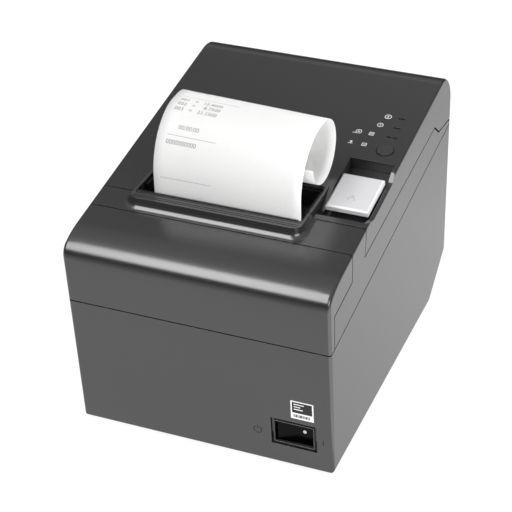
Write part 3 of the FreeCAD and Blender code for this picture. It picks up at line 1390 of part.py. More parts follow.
def open_lever():
    """The silver cap with its arm, the hook under the pivot, and the pin and spring that carry it."""
    front, back = -s.lever_front_y / cosine(s.top_slope), -s.lever_back_y / cosine(s.top_slope)
    low, high = s.lever_rise - s.lever_thick, s.lever_rise
    cap = sloped_block((s.lever_left_x, s.lever_right_x), (front, back), (low, high))
    plate = bevel_top(cap, s.lever_bevel)
    pivot_y, pivot_z = LEVER_AT
    arm_end = s.lever_arm_x + s.lever_arm_wide
    arm_x = (s.lever_arm_x, arm_end)
    arm_z = top_z(pivot_y - 6) + s.lever_rise - 1
    arm = fuse(block(arm_x, (pivot_y - 4, pivot_y), (pivot_z - 12, pivot_z)),
               block(arm_x, (pivot_y - 6, pivot_y), (pivot_z, arm_z)))
    hub = rod(4, "x", arm_x, LEVER_AT)
    bore = rod(s.lever_pin_radius + s.shaft_fit, "x", (0, HALF), LEVER_AT)
    piece("open_lever", cut(fuse(plate, arm, hub), bore))
    nose_y = LATCH_AT[0] - LATCH_RADIUS - s.latch_gap
    hook = block((s.lever_arm_x + 1, arm_end - 1), (pivot_y, nose_y), (pivot_z - 12, pivot_z - 8.5))
    piece("latch_hook", hook)
    reach = s.lever_ear_gap + s.lever_ear
    pin_x = (s.lever_arm_x - reach, arm_end + reach)
    piece("lever_pivot_pin", rod(s.lever_pin_radius, "x", pin_x, LEVER_AT))
    coil = (s.lever_arm_x - s.lever_ear_gap + 0.1, s.lever_arm_x - 0.1)
    wire = s.lever_spring_wire
    piece("lever_spring", spring(wire, s.lever_pin_radius + wire + s.shaft_fit, "x", coil, 2, LEVER_AT))
    piece("latch_pin", rod(LATCH_RADIUS, "x", (s.lever_arm_x - 2, INNER - 1), LATCH_AT))


def controls():
    cap = button_rod(s.button_radius, -s.button_long, s.button_proud)
    flange = button_rod(s.button_radius + 1, -3.6, -s.wall - 0.4)
    piece("feed_button", fuse(cap, flange))
    lights = [light_box(x, y, long, term(0), (CONTROL_LOW, -0.1)) for x, y, long in light_places()]
    piece("status_lights", group(*lights))
    start, end = s.button_y - 8, s.light_first_y + 4
    across = (s.button_x - 9, s.button_x + 7)
    board = sloped_block(across, (start, end), (CONTROL_LOW - s.board_thick, CONTROL_LOW))
    piece("control_board", board)
    piece("button_switch", button_rod(2.0, CONTROL_LOW, CONTROL_LOW + 0.9))


def hinge():
    piece("hinge_pin", rod(s.hinge_pin_radius, "x", (-s.hinge_barrel, s.hinge_barrel), HINGE_AT))


def check(things):
    """Stops with a plain message if any object failed or any sub-part is not one or more sound solids."""
    for thing in doc.Objects:
        if {"Invalid", "Error"} & set(thing.State):
            raise RuntimeError(f"{thing.Name} ({thing.Label}) failed: {thing.State}")
    for thing in things:
        shape = thing.Shape
        if shape.isNull() or not shape.isValid() or not shape.Solids:
            raise RuntimeError(f"{thing.Label} has no sound solid")


def main():
    case = casings()
    lower_case(case)
    upper_case(case)
    piece("cutter_cover", case.hood)
    roll_cover(case)
    feet()
    case_fittings()
    paper_bin()
    interface_panel()
    power_switch()
    chassis()
    feed_train()
    print_head()
    platen()
    platen_holder()
    cutter()
    tear_plate()
    paper()
    open_lever()
    controls()
    hinge()
    doc.recompute()
    check(PIECES)
    os.makedirs("parts", exist_ok=True)
    for thing in PIECES:
        thing.Shape.exportStep(f"parts/{thing.Label}.step")
        print(f"{thing.Label}: {len(thing.Shape.Solids)} solids, {thing.Shape.Volume:.1f} mm3")


main()
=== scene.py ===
import logging
import math
from collections.abc import Callable
from dataclasses import dataclass, field
from enum import Enum
from typing import Any

import bpy
from mathutils import Matrix, Vector


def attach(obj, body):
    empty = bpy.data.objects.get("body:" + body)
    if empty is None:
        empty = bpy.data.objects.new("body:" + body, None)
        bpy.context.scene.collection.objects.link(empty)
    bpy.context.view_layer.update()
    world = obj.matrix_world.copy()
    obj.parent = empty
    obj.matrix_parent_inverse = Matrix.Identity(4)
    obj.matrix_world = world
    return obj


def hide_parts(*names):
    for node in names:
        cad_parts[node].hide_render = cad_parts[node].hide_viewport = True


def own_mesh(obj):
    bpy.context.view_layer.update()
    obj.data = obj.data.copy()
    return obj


# Looks of a desktop receipt printer: satin charcoal casings, a silver opening lever and a curled
# paper slip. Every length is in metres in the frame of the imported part, unless a comment says
# millimetres: X to the right, Y to the back, Z up.

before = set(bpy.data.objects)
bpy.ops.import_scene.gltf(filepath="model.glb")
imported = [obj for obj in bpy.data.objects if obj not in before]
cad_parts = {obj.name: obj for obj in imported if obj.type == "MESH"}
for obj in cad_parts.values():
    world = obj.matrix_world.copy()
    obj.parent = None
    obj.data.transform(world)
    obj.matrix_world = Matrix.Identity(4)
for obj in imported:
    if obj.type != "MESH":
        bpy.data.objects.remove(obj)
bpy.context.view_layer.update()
log = logging.getLogger("receipt_printer")
MM = 0.001
Point = tuple[float, float, float]
Span = tuple[float, float]
Tree = bpy.types.NodeTree
Socket = bpy.types.NodeSocket
Piece = bpy.types.Object


class Face(Enum):
    """Outer faces of the case that carry printed marks."""

    TOP = "top"
    FRONT = "front"


class Grain(Enum):
    """Which way the fine lines of a metal surface run, as a stretch of its pattern."""

    ALONG_X = (0.02, 1.0, 1.0)
    NONE = (1.0, 1.0, 1.0)


def linear(colour: str) -> tuple[float, float, float, float]:
    """Turn an sRGB hex colour into linear light.

    Args:
        colour: Six hex digits after a hash sign.

    Returns:
        Red, green, blue and an alpha of 1.
    """
    parts = [int(colour[i:i + 2], 16) / 255 for i in (1, 3, 5)]
    red, green, blue = (v / 12.92 if v <= 0.04045 else ((v + 0.055) / 1.055) ** 2.4 for v in parts)
    return red, green, blue, 1.0


def add_node(tree: Tree, kind: str, inputs: dict[str | int, Any] | None = None,
             **settings: Any) -> bpy.types.Node:
    """Add a node with its settings, values and links.

    Args:
        tree: The node tree that gets the node.
        kind: Blender's name for the kind of node.
        inputs: For each input, a socket to link from or a value to set.
        settings: Properties of the node itself.

    Returns:
        The new node.
    """
    node = tree.nodes.new(kind)
    for name, value in settings.items():
        setattr(node, name, value)
    for name, value in (inputs or {}).items():
        if isinstance(value, bpy.types.NodeSocket):
            tree.links.new(value, node.inputs[name])
        else:
            node.inputs[name].default_value = value
    return node


# ------------------------------------------------------------------------------------ finishes


@dataclass(frozen=True)
class Pattern:
    """What a finish's pattern gives its material."""

    layers: tuple[tuple[Socket, str], ...] = ()    # shares and colours, laid over one another
    relief: dict[str, Socket] = field(default_factory=dict)    # inputs of the bump, if it has one
    inputs: dict[str, Any] = field(default_factory=dict)       # further inputs of the shader


@dataclass(frozen=True)
class Finish:
    """A finish: what the material is and how its surface was made."""

    name: str
    colour: str
    roughness: float = 0.5
    ior: float = 1.5
    other: str = "#c8c8c8"         # the colour that its pattern mixes in
    depth: float = 0.01 * MM       # of its relief
    strength: float = 1.0          # and how much of that shows

    def material(self) -> bpy.types.Material:
        """Make the finish's material on its first use.

        Returns:
            The material.
        """
        made = bpy.data.materials.get(self.name)
        if made:
            return made
        made = bpy.data.materials.new(self.name)
        made.use_nodes = True
        tree = made.node_tree
        tree.nodes.clear()
        drawn = self.pattern(tree, add_node(tree, "ShaderNodeTexCoord").outputs["Object"])
        colour = linear(self.colour)
        for share, other in drawn.layers:
            colour = add_node(tree, "ShaderNodeMix", {0: share, 6: colour, 7: linear(other)},
                              data_type="RGBA").outputs[2]
        inputs = {"IOR": self.ior, "Roughness": self.roughness, "Base Color": colour}
        if drawn.relief:
            inputs["Normal"] = add_node(tree, "ShaderNodeBump", {
                "Strength": self.strength, "Distance": self.depth, **drawn.relief}).outputs[0]
        shader = add_node(tree, "ShaderNodeBsdfPrincipled", inputs | drawn.inputs)
        add_node(tree, "ShaderNodeOutputMaterial", {"Surface": shader.outputs[0]})
        return made

    def pattern(self, tree: Tree, place: Socket) -> Pattern:
        """Draw the finish's pattern: none, unless a kind of finish has one.

        Args:
            tree: The material's node tree.
            place: Object coordinates.

        Returns:
            The pattern.
        """
        return Pattern()

    def dress(self, *pieces: Piece) -> None:
        """Give pieces this finish in place of what they had.

        Args:
            pieces: Mesh objects.
        """
        for piece in pieces:
            piece.data.materials.clear()
            piece.data.materials.append(self.material())


@dataclass(frozen=True)
class MouldedPlastic(Finish):
    """ABS or nylon from a mould: a fine satin grain, faint flow mottling, soft edges and painted
    shade in seams and hollows.
    """

    depth: float = 0.002 * MM
    grain: float = 0.55 * MM       # the real grit is finer; this is as fine as the picture can show
    spread: float = 0.02           # of the roughness, from grain to grain
    flow: float = 45 * MM
    edge: float = 0.15 * MM        # radius that the eye sees along moulded edges
    gap: float = 1.6 * MM          # how near walls must close in before painted shade darkens a seam or hollow
    seam: Span = (0.3, 0.75)       # share of open room below which the painted shade is full, and above which there is none
    seam_shade_left: float = 0.03        # what the painted shade leaves of the colour and the gloss in a seam or hollow
    # colour of the painted shade in seams and hollows
    seam_shade_colour: str = "#020202"
    gloss: float = 0.5             # the shader's plain specular level
    nose: float = 0.0              # how far the round nose blends into the faces beside it
    nose_side: Span = (64 * MM, 67 * MM)       # where the nose ends towards the sides
    nose_back: Span = (-84 * MM, -80 * MM)     # towards the back
    nose_low: Span = (94 * MM, 98 * MM)        # and downwards

    def edge_radius(self, tree: Tree, place: Socket) -> Socket | float:
        """Find how round the edges look: a little all over, and more along a nose.

        Args:
            tree: The material's node tree.
            place: Object coordinates.

        Returns:
            A radius, or the socket that gives it.
        """
        if not self.nose:
            return self.edge
        split = add_node(tree, "ShaderNodeSeparateXYZ", {"Vector": place}).outputs
        side = add_node(tree, "ShaderNodeMath", {0: split["X"]}, operation="ABSOLUTE").outputs[0]
        zone = 1.0
        for value, span, low, high in ((side, self.nose_side, 1.0, 0.0),
                                       (split["Y"], self.nose_back, 1.0, 0.0),
                                       (split["Z"], self.nose_low, 0.0, 1.0)):
            inside = add_node(tree, "ShaderNodeMapRange", {
                "Value": value, "From Min": span[0], "From Max": span[1], "To Min": low,
                "To Max": high}).outputs["Result"]
            zone = add_node(tree, "ShaderNodeMath", {0: zone, 1: inside},
                            operation="MULTIPLY").outputs[0]
        return add_node(tree, "ShaderNodeMapRange", {
            "Value": zone, "To Min": self.edge, "To Max": self.nose}).outputs["Result"]

    def pattern(self, tree: Tree, place: Socket) -> Pattern:
        """Draw the flow in the colour, painted shade that darkens and dulls seams and hollows, the
        grain and the soft edges.

        Args:
            tree: The material's node tree.
            place: Object coordinates.

        Returns:
            The pattern.
        """
        flow = add_node(tree, "ShaderNodeTexNoise", {
            "Vector": place, "Scale": 1 / self.flow, "Detail": 3.0})
        grit = add_node(tree, "ShaderNodeTexNoise", {
            "Vector": place, "Scale": 1 / self.grain, "Detail": 2.0}).outputs["Fac"]
        rough = add_node(tree, "ShaderNodeMapRange", {
            "Value": grit, "To Min": self.roughness - self.spread,
            "To Max": self.roughness + self.spread})
        # Painted shade: where walls close in, as in seams and hollows, the colour turns dark and
        # the specular level drops.
        room = add_node(tree, "ShaderNodeAmbientOcclusion", {"Distance": self.gap}, samples=6)
        dark, gloss = (add_node(tree, "ShaderNodeMapRange", {
            "Value": room.outputs["AO"], "From Min": self.seam[0], "From Max": self.seam[1],
            "To Min": low, "To Max": high}).outputs["Result"] for low, high in (
                (1 - self.seam_shade_left, 0.0), (self.seam_shade_left * self.gloss, self.gloss)))
        soft = add_node(tree, "ShaderNodeBevel", {"Radius": self.edge_radius(tree, place)},
                        samples=8)
        return Pattern(((flow.outputs["Fac"], self.other), (dark, self.seam_shade_colour)),
                       {"Height": grit, "Normal": soft.outputs["Normal"]},
                       {"Roughness": rough.outputs["Result"], "Specular IOR Level": gloss})


@dataclass(frozen=True)
class SilverPaint(Finish):
    """Silver lacquer on plastic: fine metal flakes under a clear skin with slight orange peel."""

    other: str = "#cbcbce"
    strength: float = 0.5
    flake: float = 0.35 * MM       # drawn coarser than the real flakes, so that they show
    peel: float = 1.6 * MM
    edge: float = 0.5 * MM
    metal: float = 0.1
    skin: float = 0.3
    skin_roughness: float = 0.25

    def pattern(self, tree: Tree, place: Socket) -> Pattern:
        """Draw the flakes in the colour, the peel, the soft edges and the clear skin.

        Args:
            tree: The material's node tree.
            place: Object coordinates.

        Returns:
            The pattern.
        """
        flakes = add_node(tree, "ShaderNodeTexVoronoi", {"Vector": place, "Scale": 1 / self.flake})
        peel = add_node(tree, "ShaderNodeTexNoise", {
            "Vector": place, "Scale": 1 / self.peel, "Detail": 2.0})
        soft = add_node(tree, "ShaderNodeBevel", {"Radius": self.edge}, samples=6)
        return Pattern(((flakes.outputs["Distance"], self.other),),
                       {"Height": peel.outputs["Fac"], "Normal": soft.outputs["Normal"]},
                       {"Metallic": self.metal, "Coat Weight": self.skin,
                        "Coat Roughness": self.skin_roughness})


@dataclass(frozen=True)
class SheetMetal(Finish):
    """Plated, ground or turned metal: fine lines or a faint spangle over a bright surface."""

    other: str = "#8d8f92"         # a faint stain
    depth: float = 0.006 * MM
    strength: float = 0.6
    grain: Grain = Grain.NONE
    pitch: float = 0.4 * MM        # spacing of the lines, coarse enough to show
    spread: float = 0.08           # of the roughness, from line to line
    cloud: float = 9 * MM

    def pattern(self, tree: Tree, place: Socket) -> Pattern:
        """Draw the lines on the surface and a faint stain in the colour.

        Args:
            tree: The material's node tree.
            place: Object coordinates.

        Returns:
            The pattern.
        """
        stretch = add_node(tree, "ShaderNodeMapping", {"Vector": place, "Scale": self.grain.value})
        lines = add_node(tree, "ShaderNodeTexNoise", {
            "Vector": stretch.outputs["Vector"], "Scale": 1 / self.pitch,
            "Detail": 3.0}).outputs["Fac"]
        cloud = add_node(tree, "ShaderNodeTexNoise", {
            "Vector": place, "Scale": 1 / self.cloud, "Detail": 4.0})
        rough = add_node(tree, "ShaderNodeMapRange", {
            "Value": lines, "To Min": self.roughness - self.spread,
            "To Max": self.roughness + self.spread})
        return Pattern(((cloud.outputs["Fac"], self.other),), {"Height": lines},
                       {"Roughness": rough.outputs["Result"], "Metallic": 1.0})


@dataclass(frozen=True)
class Rubber(Finish):
    """Ground or moulded rubber: dull, with a powdery bloom."""

    other: str = "#3a3a3a"
    depth: float = 0.02 * MM
    strength: float = 0.8
    patch: float = 4 * MM
    grit: float = 0.4 * MM

    def pattern(self, tree: Tree, place: Socket) -> Pattern:
        """Draw the bloom in the colour and the ground surface.

        Args:
            tree: The material's node tree.
            place: Object coordinates.

        Returns:
            The pattern.
        """
        bloom = add_node(tree, "ShaderNodeTexNoise", {
            "Vector": place, "Scale": 1 / self.patch, "Detail": 5.0})
        grit = add_node(tree, "ShaderNodeTexNoise", {
            "Vector": place, "Scale": 1 / self.grit, "Detail": 2.0})
        return Pattern(((bloom.outputs["Fac"], self.other),), {"Height": grit.outputs["Fac"]})


@dataclass(frozen=True)
class Paper(Finish):
    """Thermal paper or card: a smooth coated sheet with cloudy fibre formation."""

    strength: float = 0.4
    fibre: float = 1.8 * MM
    glow: float = 0.0              # share of the light that soaks in and comes out behind
    soak: float = 1.0 * MM         # how far it spreads on the way

    def pattern(self, tree: Tree, place: Socket) -> Pattern:
        """Draw the clouds of fibre in the colour and the surface, and let light through.

        Args:
            tree: The material's node tree.
            place: Object coordinates.

        Returns:
            The pattern.
        """
        fibres = add_node(tree, "ShaderNodeTexNoise", {
            "Vector": place, "Scale": 1 / self.fibre, "Detail": 6.0}).outputs["Fac"]
        return Pattern(((fibres, self.other),), {"Height": fibres}, {
            "Subsurface Weight": self.glow, "Subsurface Radius": (1.0, 1.0, 1.0),
            "Subsurface Scale": self.soak})


@dataclass(frozen=True)
class WoundPaper(Finish):
    """The paper roll: smooth outside, with the edges of its turns showing on the two ends."""

    other: str = "#d8d6cf"
    depth: float = 0.05 * MM
    strength: float = 0.5
    axis: Point = (0.0, 34 * MM, 59.4 * MM)
    turn: float = 0.7 * MM         # the real turns are a tenth of this, too fine to show

    def pattern(self, tree: Tree, place: Socket) -> Pattern:
        """Draw rings about the roll's axis in the colour and the surface.

        Args:
            tree: The material's node tree.
            place: Object coordinates.

        Returns:
            The pattern.
        """
        moved = add_node(tree, "ShaderNodeVectorMath", {0: place, 1: self.axis},
                         operation="SUBTRACT")
        flat = add_node(tree, "ShaderNodeVectorMath", {
            0: moved.outputs[0], 1: (0.0, 1.0, 1.0)}, operation="MULTIPLY")
        reach = add_node(tree, "ShaderNodeVectorMath", {0: flat.outputs[0]}, operation="LENGTH")
        rings = add_node(tree, "ShaderNodeTexNoise", {
            "W": reach.outputs["Value"], "Scale": 1 / self.turn, "Detail": 4.0},
            noise_dimensions="1D").outputs["Fac"]
        return Pattern(((rings, self.other),), {"Height": rings})


@dataclass(frozen=True)
class CircuitBoard(Finish):
    """Glass-epoxy board under green solder mask, its copper tracks showing as lighter lines."""

    other: str = "#2f7a4a"
    depth: float = 0.03 * MM
    strength: float = 0.6
    pitch: float = 2.4 * MM
    line: Span = (0.05, 0.1)       # a track's edge, as a share of the pitch

    def pattern(self, tree: Tree, place: Socket) -> Pattern:
        """Draw the tracks in the colour and the surface.

        Args:
            tree: The material's node tree.
            place: Object coordinates.

        Returns:
            The pattern.
        """
        cells = add_node(tree, "ShaderNodeTexVoronoi", {
            "Vector": place, "Scale": 1 / self.pitch}, feature="DISTANCE_TO_EDGE")
        track = add_node(tree, "ShaderNodeMapRange", {
            "Value": cells.outputs["Distance"], "From Min": self.line[0], "From Max": self.line[1],
            "To Min": 1.0, "To Max": 0.0}).outputs["Result"]
        return Pattern(((track, self.other),), {"Height": track})


@dataclass(frozen=True)
class Ink(Finish):
    """Printed ink: slightly uneven cover over the surface below."""

    patch: float = 0.5 * MM

    def pattern(self, tree: Tree, place: Socket) -> Pattern:
        """Draw the uneven cover in the colour.

        Args:
            tree: The material's node tree.
            place: Object coordinates.

        Returns:
            The pattern.
        """
        cover = add_node(tree, "ShaderNodeTexNoise", {
            "Vector": place, "Scale": 1 / self.patch, "Detail": 3.0})
        return Pattern(((cover.outputs["Fac"], self.other),))


@dataclass(frozen=True)
class SmokedLens(Finish):
    """Polished smoked acrylic over an unlit lamp."""

    strength: float = 0.3
    ripple: float = 1.2 * MM

    def pattern(self, tree: Tree, place: Socket) -> Pattern:
        """Draw a faint moulded ripple on the surface.

        Args:
            tree: The material's node tree.
            place: Object coordinates.

        Returns:
            The pattern.
        """
        ripple = add_node(tree, "ShaderNodeTexNoise", {"Vector": place, "Scale": 1 / self.ripple})
        return Pattern(relief={"Height": ripple.outputs["Fac"]})


# ABS from a spark-eroded mould: a dark satin that mirrors the room softly and shines on its nose.
CASE = MouldedPlastic("spark_textured_charcoal_abs", "#262628", 0.24, 1.88, other="#232325",
                      nose=4.0 * MM)
# The same plastic a shade lighter and duller: small parts stand out against the casings.
BUTTON = MouldedPlastic("spark_textured_grey_abs", "#2b2b2d", 0.27, 1.85, other="#272729")
# ABS from a coarser mould: deep black that hardly mirrors, so inner parts stay in the dark.
BLACK = MouldedPlastic("matt_moulded_black_abs", "#0b0b0c", 0.42, 1.35, other="#09090a")
# Nylon from a polished mould: black, with small sharp glints.
GLOSS_BLACK = MouldedPlastic("polish_moulded_black_nylon", "#050506", 0.24, 1.22, other="#040405")
# Nylon without pigment: a warm milky white with a waxy sheen.
NATURAL = MouldedPlastic("moulded_natural_nylon", "#e2ded2", 0.4, other="#d6d1c2")
# Lacquer sprayed over plastic: a pale grey with a fine glitter under a clear skin.
SILVER = SilverPaint("sprayed_silver_lacquer", "#d6d6d9", 0.34)
# The same lacquer on a raised mark: a shade darker, so that it reads on the lever.
SILVER_MARK = SilverPaint("raised_silver_lacquer", "#c2c2c5", 0.34, other="#bababe")
# Rubber ground to size: dull, blotched by a grey bloom, with no highlights.
RUBBER = Rubber("ground_rubber", "#1c1c1d", 0.8)
# Rolled steel under zinc: a cool grey with blurred mirror images.
PLATED = SheetMetal("zinc_plated_steel", "#c3c5c8", 0.34)
# Ground steel: bright, with fine lines across that draw out the highlights.
BRIGHT = SheetMetal("ground_steel", "#c9cacc", 0.24, grain=Grain.ALONG_X)
# Extruded aluminium: pale, streaked along by the die.
ALUMINIUM = SheetMetal("extruded_aluminium", "#cfd1d4", 0.32, grain=Grain.ALONG_X, other="#a9abaf")
# Turned brass: a warm yellow mirror.
BRASS = SheetMetal("turned_brass", "#c9a24f", 0.28, other="#a88340")
# Glass-epoxy under solder mask: deep green and glossy, with a net of lighter tracks.
BOARD = CircuitBoard("solder_masked_glass_epoxy", "#14502c", 0.35)
# Moulded epoxy: a flat dark grey with crisp edges.
CHIP = MouldedPlastic("moulded_epoxy", "#1a1a1b", 0.55, other="#202021", edge=0.1 * MM)
# Glazed ceramic: a brown mirror.
CERAMIC = MouldedPlastic("glazed_ceramic", "#4a3b32", 0.15, other="#3b2f28")
# Coated thermal paper: a bright smooth white that light shines through inside the curl.
SLIP = Paper("coated_thermal_paper", "#f7f7f6", 0.55, other="#f2f2f0", glow=0.7)
# The same paper wound tight: white, with fine rings on the ends.
ROLL = WoundPaper("wound_thermal_paper", "#f4f3f0", 0.6)
# Rolled card: a rough brown with cloudy fibres.
CARD = Paper("rolled_card", "#a88a5f", 0.85, other="#8f744e", fibre=3 * MM)
# Polished acrylic, smoked: black windows with a soft glint.
LENS = SmokedLens("polished_smoked_acrylic", "#030303", 0.3)
# White ink off a pad: a thin flat film, a little uneven.
WHITE_INK = Ink("white_pad_print", "#e6e6e7", 0.5, other="#d2d2d3")
# Black ink off a pad: darker than the case by just enough to be seen.
DARK_INK = Ink("black_pad_print", "#0c0c0d", 0.5, other="#151516")
# Heated thermal coating: a soft uneven grey on the white.
THERMAL_INK = Ink("thermal_print", "#5c5c5e", 0.6, other="#8e8e90")
# Label film, printed: plain white.
LABEL_WHITE = Ink("printed_film_white", "#f4f4f4", 0.45, other="#ececec")
# Label film, printed: solid black.
LABEL_BLACK = Ink("printed_film_black", "#161617", 0.45, other="#1d1d1e")


# --------------------------------------------------------------------------------------- tools


def deselect() -> None:
    """Leave edit mode and deselect every object."""
    if bpy.context.object and bpy.context.object.mode != "OBJECT":
        bpy.ops.object.mode_set(mode="OBJECT")
    bpy.ops.object.select_all(action="DESELECT")


def apply_place() -> None:
    """Apply the active object's place, turn and scale to its mesh."""
    bpy.ops.object.transform_apply(location=True, rotation=True, scale=True)


def edit_all() -> None:
    """Enter edit mode with everything selected."""
    bpy.ops.object.mode_set(mode="EDIT")
    bpy.ops.mesh.select_all(action="SELECT")


def pull(x: float, y: float, z: float) -> None:
    """Extrude what is selected along an offset."""
    bpy.ops.mesh.extrude_region_move(TRANSFORM_OT_translate={"value": (x, y, z)})


def close_up() -> None:
    """Turn all faces outwards and leave edit mode."""
    bpy.ops.mesh.select_all(action="SELECT")
    bpy.ops.mesh.normals_make_consistent(inside=False)
    bpy.ops.object.mode_set(mode="OBJECT")


def pick_faces(made: Piece, wanted: Callable[[Vector], bool]) -> None:
    """Select faces by where their middle lies, and stay in edit mode.

    Args:
        made: The mesh that is being edited.
        wanted: Whether a face with its middle there is meant.
    """
    bpy.ops.mesh.select_mode(type="FACE")
    bpy.ops.mesh.select_all(action="DESELECT")
    bpy.ops.object.mode_set(mode="OBJECT")
    for side in made.data.polygons:
        side.select = wanted(side.center)
    bpy.ops.object.mode_set(mode="EDIT")


def apply_modifier(made: Piece, name: str, kind: str, **settings: Any) -> None:
    """Add a modifier to the active object and apply it.

    Args:
        made: The active object.
        name: The modifier's name.
        kind: Blender's name for the kind of modifier.
        settings: Its properties.
    """
    step = made.modifiers.new(name, kind)
    for key, value in settings.items():
        setattr(step, key, value)
    bpy.ops.object.modifier_apply(modifier=step.name)


def finish_piece(name: str, made: list[Piece], stand: Matrix) -> Piece:
    """Join meshes into one piece, set it on its stand and apply its place.

    Args:
        name: The piece's name.
        made: Mesh objects drawn in the stand's own plane.
        stand: From that plane to the frame of the part.

    Returns:
        The finished piece, at the origin.
    """
    deselect()
    for part in made:
        part.select_set(True)
    bpy.context.view_layer.objects.active = made[0]
    if len(made) > 1:
        bpy.ops.object.join()
    piece = bpy.context.object
    piece.name = piece.data.name = name
    piece.matrix_world = stand @ piece.matrix_world
    apply_place()
    return piece


RING = 40                              # corners of a ring
SQUARE = {"sides": 4, "turn": 45}      # of an outline with level edges


@dataclass
class Pen:
    """Draws flat marks, in millimetres about the mark's own middle, as thin plates of ink."""

    height: float = 0.06
    made: list[Piece] = field(default_factory=list)

    def keep(self) -> None:
        """Thicken what was just drawn and keep it for the mark."""
        made = bpy.context.object
        apply_place()
        deselect()
        made.select_set(True)
        bpy.context.view_layer.objects.active = made
        edit_all()
        pull(0, 0, self.height)
        close_up()
        self.made.append(made)

    def bar(self, x: float, y: float, wide: float, tall: float, turn: float = 0.0) -> "Pen":
        """Draw a bar.

        Args:
            x: Middle, across.
            y: Middle, upwards.
            wide: Size across.
            tall: Size upwards.
            turn: Angle in degrees about the middle.

        Returns:
            The pen itself.
        """
        deselect()
        bpy.ops.mesh.primitive_plane_add(size=1, location=(x, y, 0),
                                         rotation=(0, 0, math.radians(turn)))
        bpy.context.object.scale = (wide, tall, 1)
        self.keep()
        return self

    def disc(self, x: float, y: float, radius: float, sides: int = 32, turn: float = 0.0,
             line: float = 0.0, gap: float = 0.0) -> "Pen":
        """Draw a disc or a polygon, filled or as an outline.

        Args:
            x: Middle, across.
            y: Middle, upwards.
            radius: Of the outer edge or its corners.
            sides: Number of sides.
            turn: Angle in degrees.
            line: Width of the outline, or nothing for a filled shape.
            gap: Half of an opening at the top of the outline.

        Returns:
            The pen itself.
        """
        deselect()
        bpy.ops.mesh.primitive_circle_add(
            vertices=sides, radius=radius, fill_type="NGON", location=(x, y, 0),
            rotation=(0, 0, math.radians(turn)))
        if line:
            edit_all()
            bpy.ops.mesh.inset(thickness=line, depth=0)
            bpy.ops.mesh.delete(type="FACE")
            pick_faces(bpy.context.object, lambda middle: middle.y > 0 and abs(middle.x) < gap)
            bpy.ops.mesh.delete(type="FACE")
            bpy.ops.object.mode_set(mode="OBJECT")
        self.keep()
        return self

    def place(self, name: str, stand: Matrix) -> Piece:
        """Set the drawn mark on a stand, sunk by half its height, as one piece.

        Args:
            name: The piece's name.
            stand: The frame of the spot that carries it.

        Returns:
            The finished piece.
        """
        sunk = Matrix.Translation((0, 0, -self.height / 2))
        piece = finish_piece(name, self.made, stand @ Matrix.Scale(MM, 4) @ sunk)
        self.made = []
        return piece


@dataclass
class Case:
    """Outer faces of the case, where marks stand."""

    top_height: float = 129.06 * MM
    top_slope: float = math.radians(8.5)
    front_base: float = -93.08 * MM
    front_lean: float = math.radians(3.5)

    def stand(self, face: Face, x: float, other: float) -> Matrix:
        """Find the frame of a mark on a face.

        Args:
            face: The face that carries the mark.
            x: Across.
            other: The depth on the top, or the height on the front.

        Returns:
            A matrix whose Z column points out of the face.
        """
        if face is Face.TOP:
            spot = Vector((x, other, self.top_height + math.tan(self.top_slope) * other))
            turn = Matrix.Rotation(self.top_slope, 4, "X")
        else:
            spot = Vector((x, self.front_base - math.tan(self.front_lean) * other, other))
            turn = Matrix.Rotation(math.radians(90) + self.front_lean, 4, "X")
        return Matrix.Translation(spot) @ turn


def on_node(node: str, start: Point, way: Point) -> Matrix:
    """Find the frame where a ray meets a CAD node, with Z along the normal and X level.

    Args:
        node: The node's name.
        start: Where the ray starts.
        way: The ray's direction.

    Returns:
        The frame of the spot that it meets.
    """
    found, spot, normal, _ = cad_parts[node].ray_cast(Vector(start), Vector(way))
    if not found:
        raise RuntimeError(f"nothing of {node} lies there")
    up = normal.cross(Vector((1, 0, 0))).normalized()
    turn = Matrix((up.cross(normal), up, normal)).transposed().to_4x4()
    return Matrix.Translation(spot) @ turn


def nodes(*names: str) -> list[Piece]:
    """Pick CAD nodes by name."""
    return [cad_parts[name] for name in names]


# ------------------------------------------------------------------------------ sub-assemblies


class Assembly:
    """A sub-assembly: CAD nodes to dress, and pieces that the looks add."""

    def dress(self) -> None:
        """Give the CAD nodes their finishes."""

    def build(self) -> list[Piece]:
        """Make the pieces that the looks add: none, unless a sub-assembly has some."""
        return []


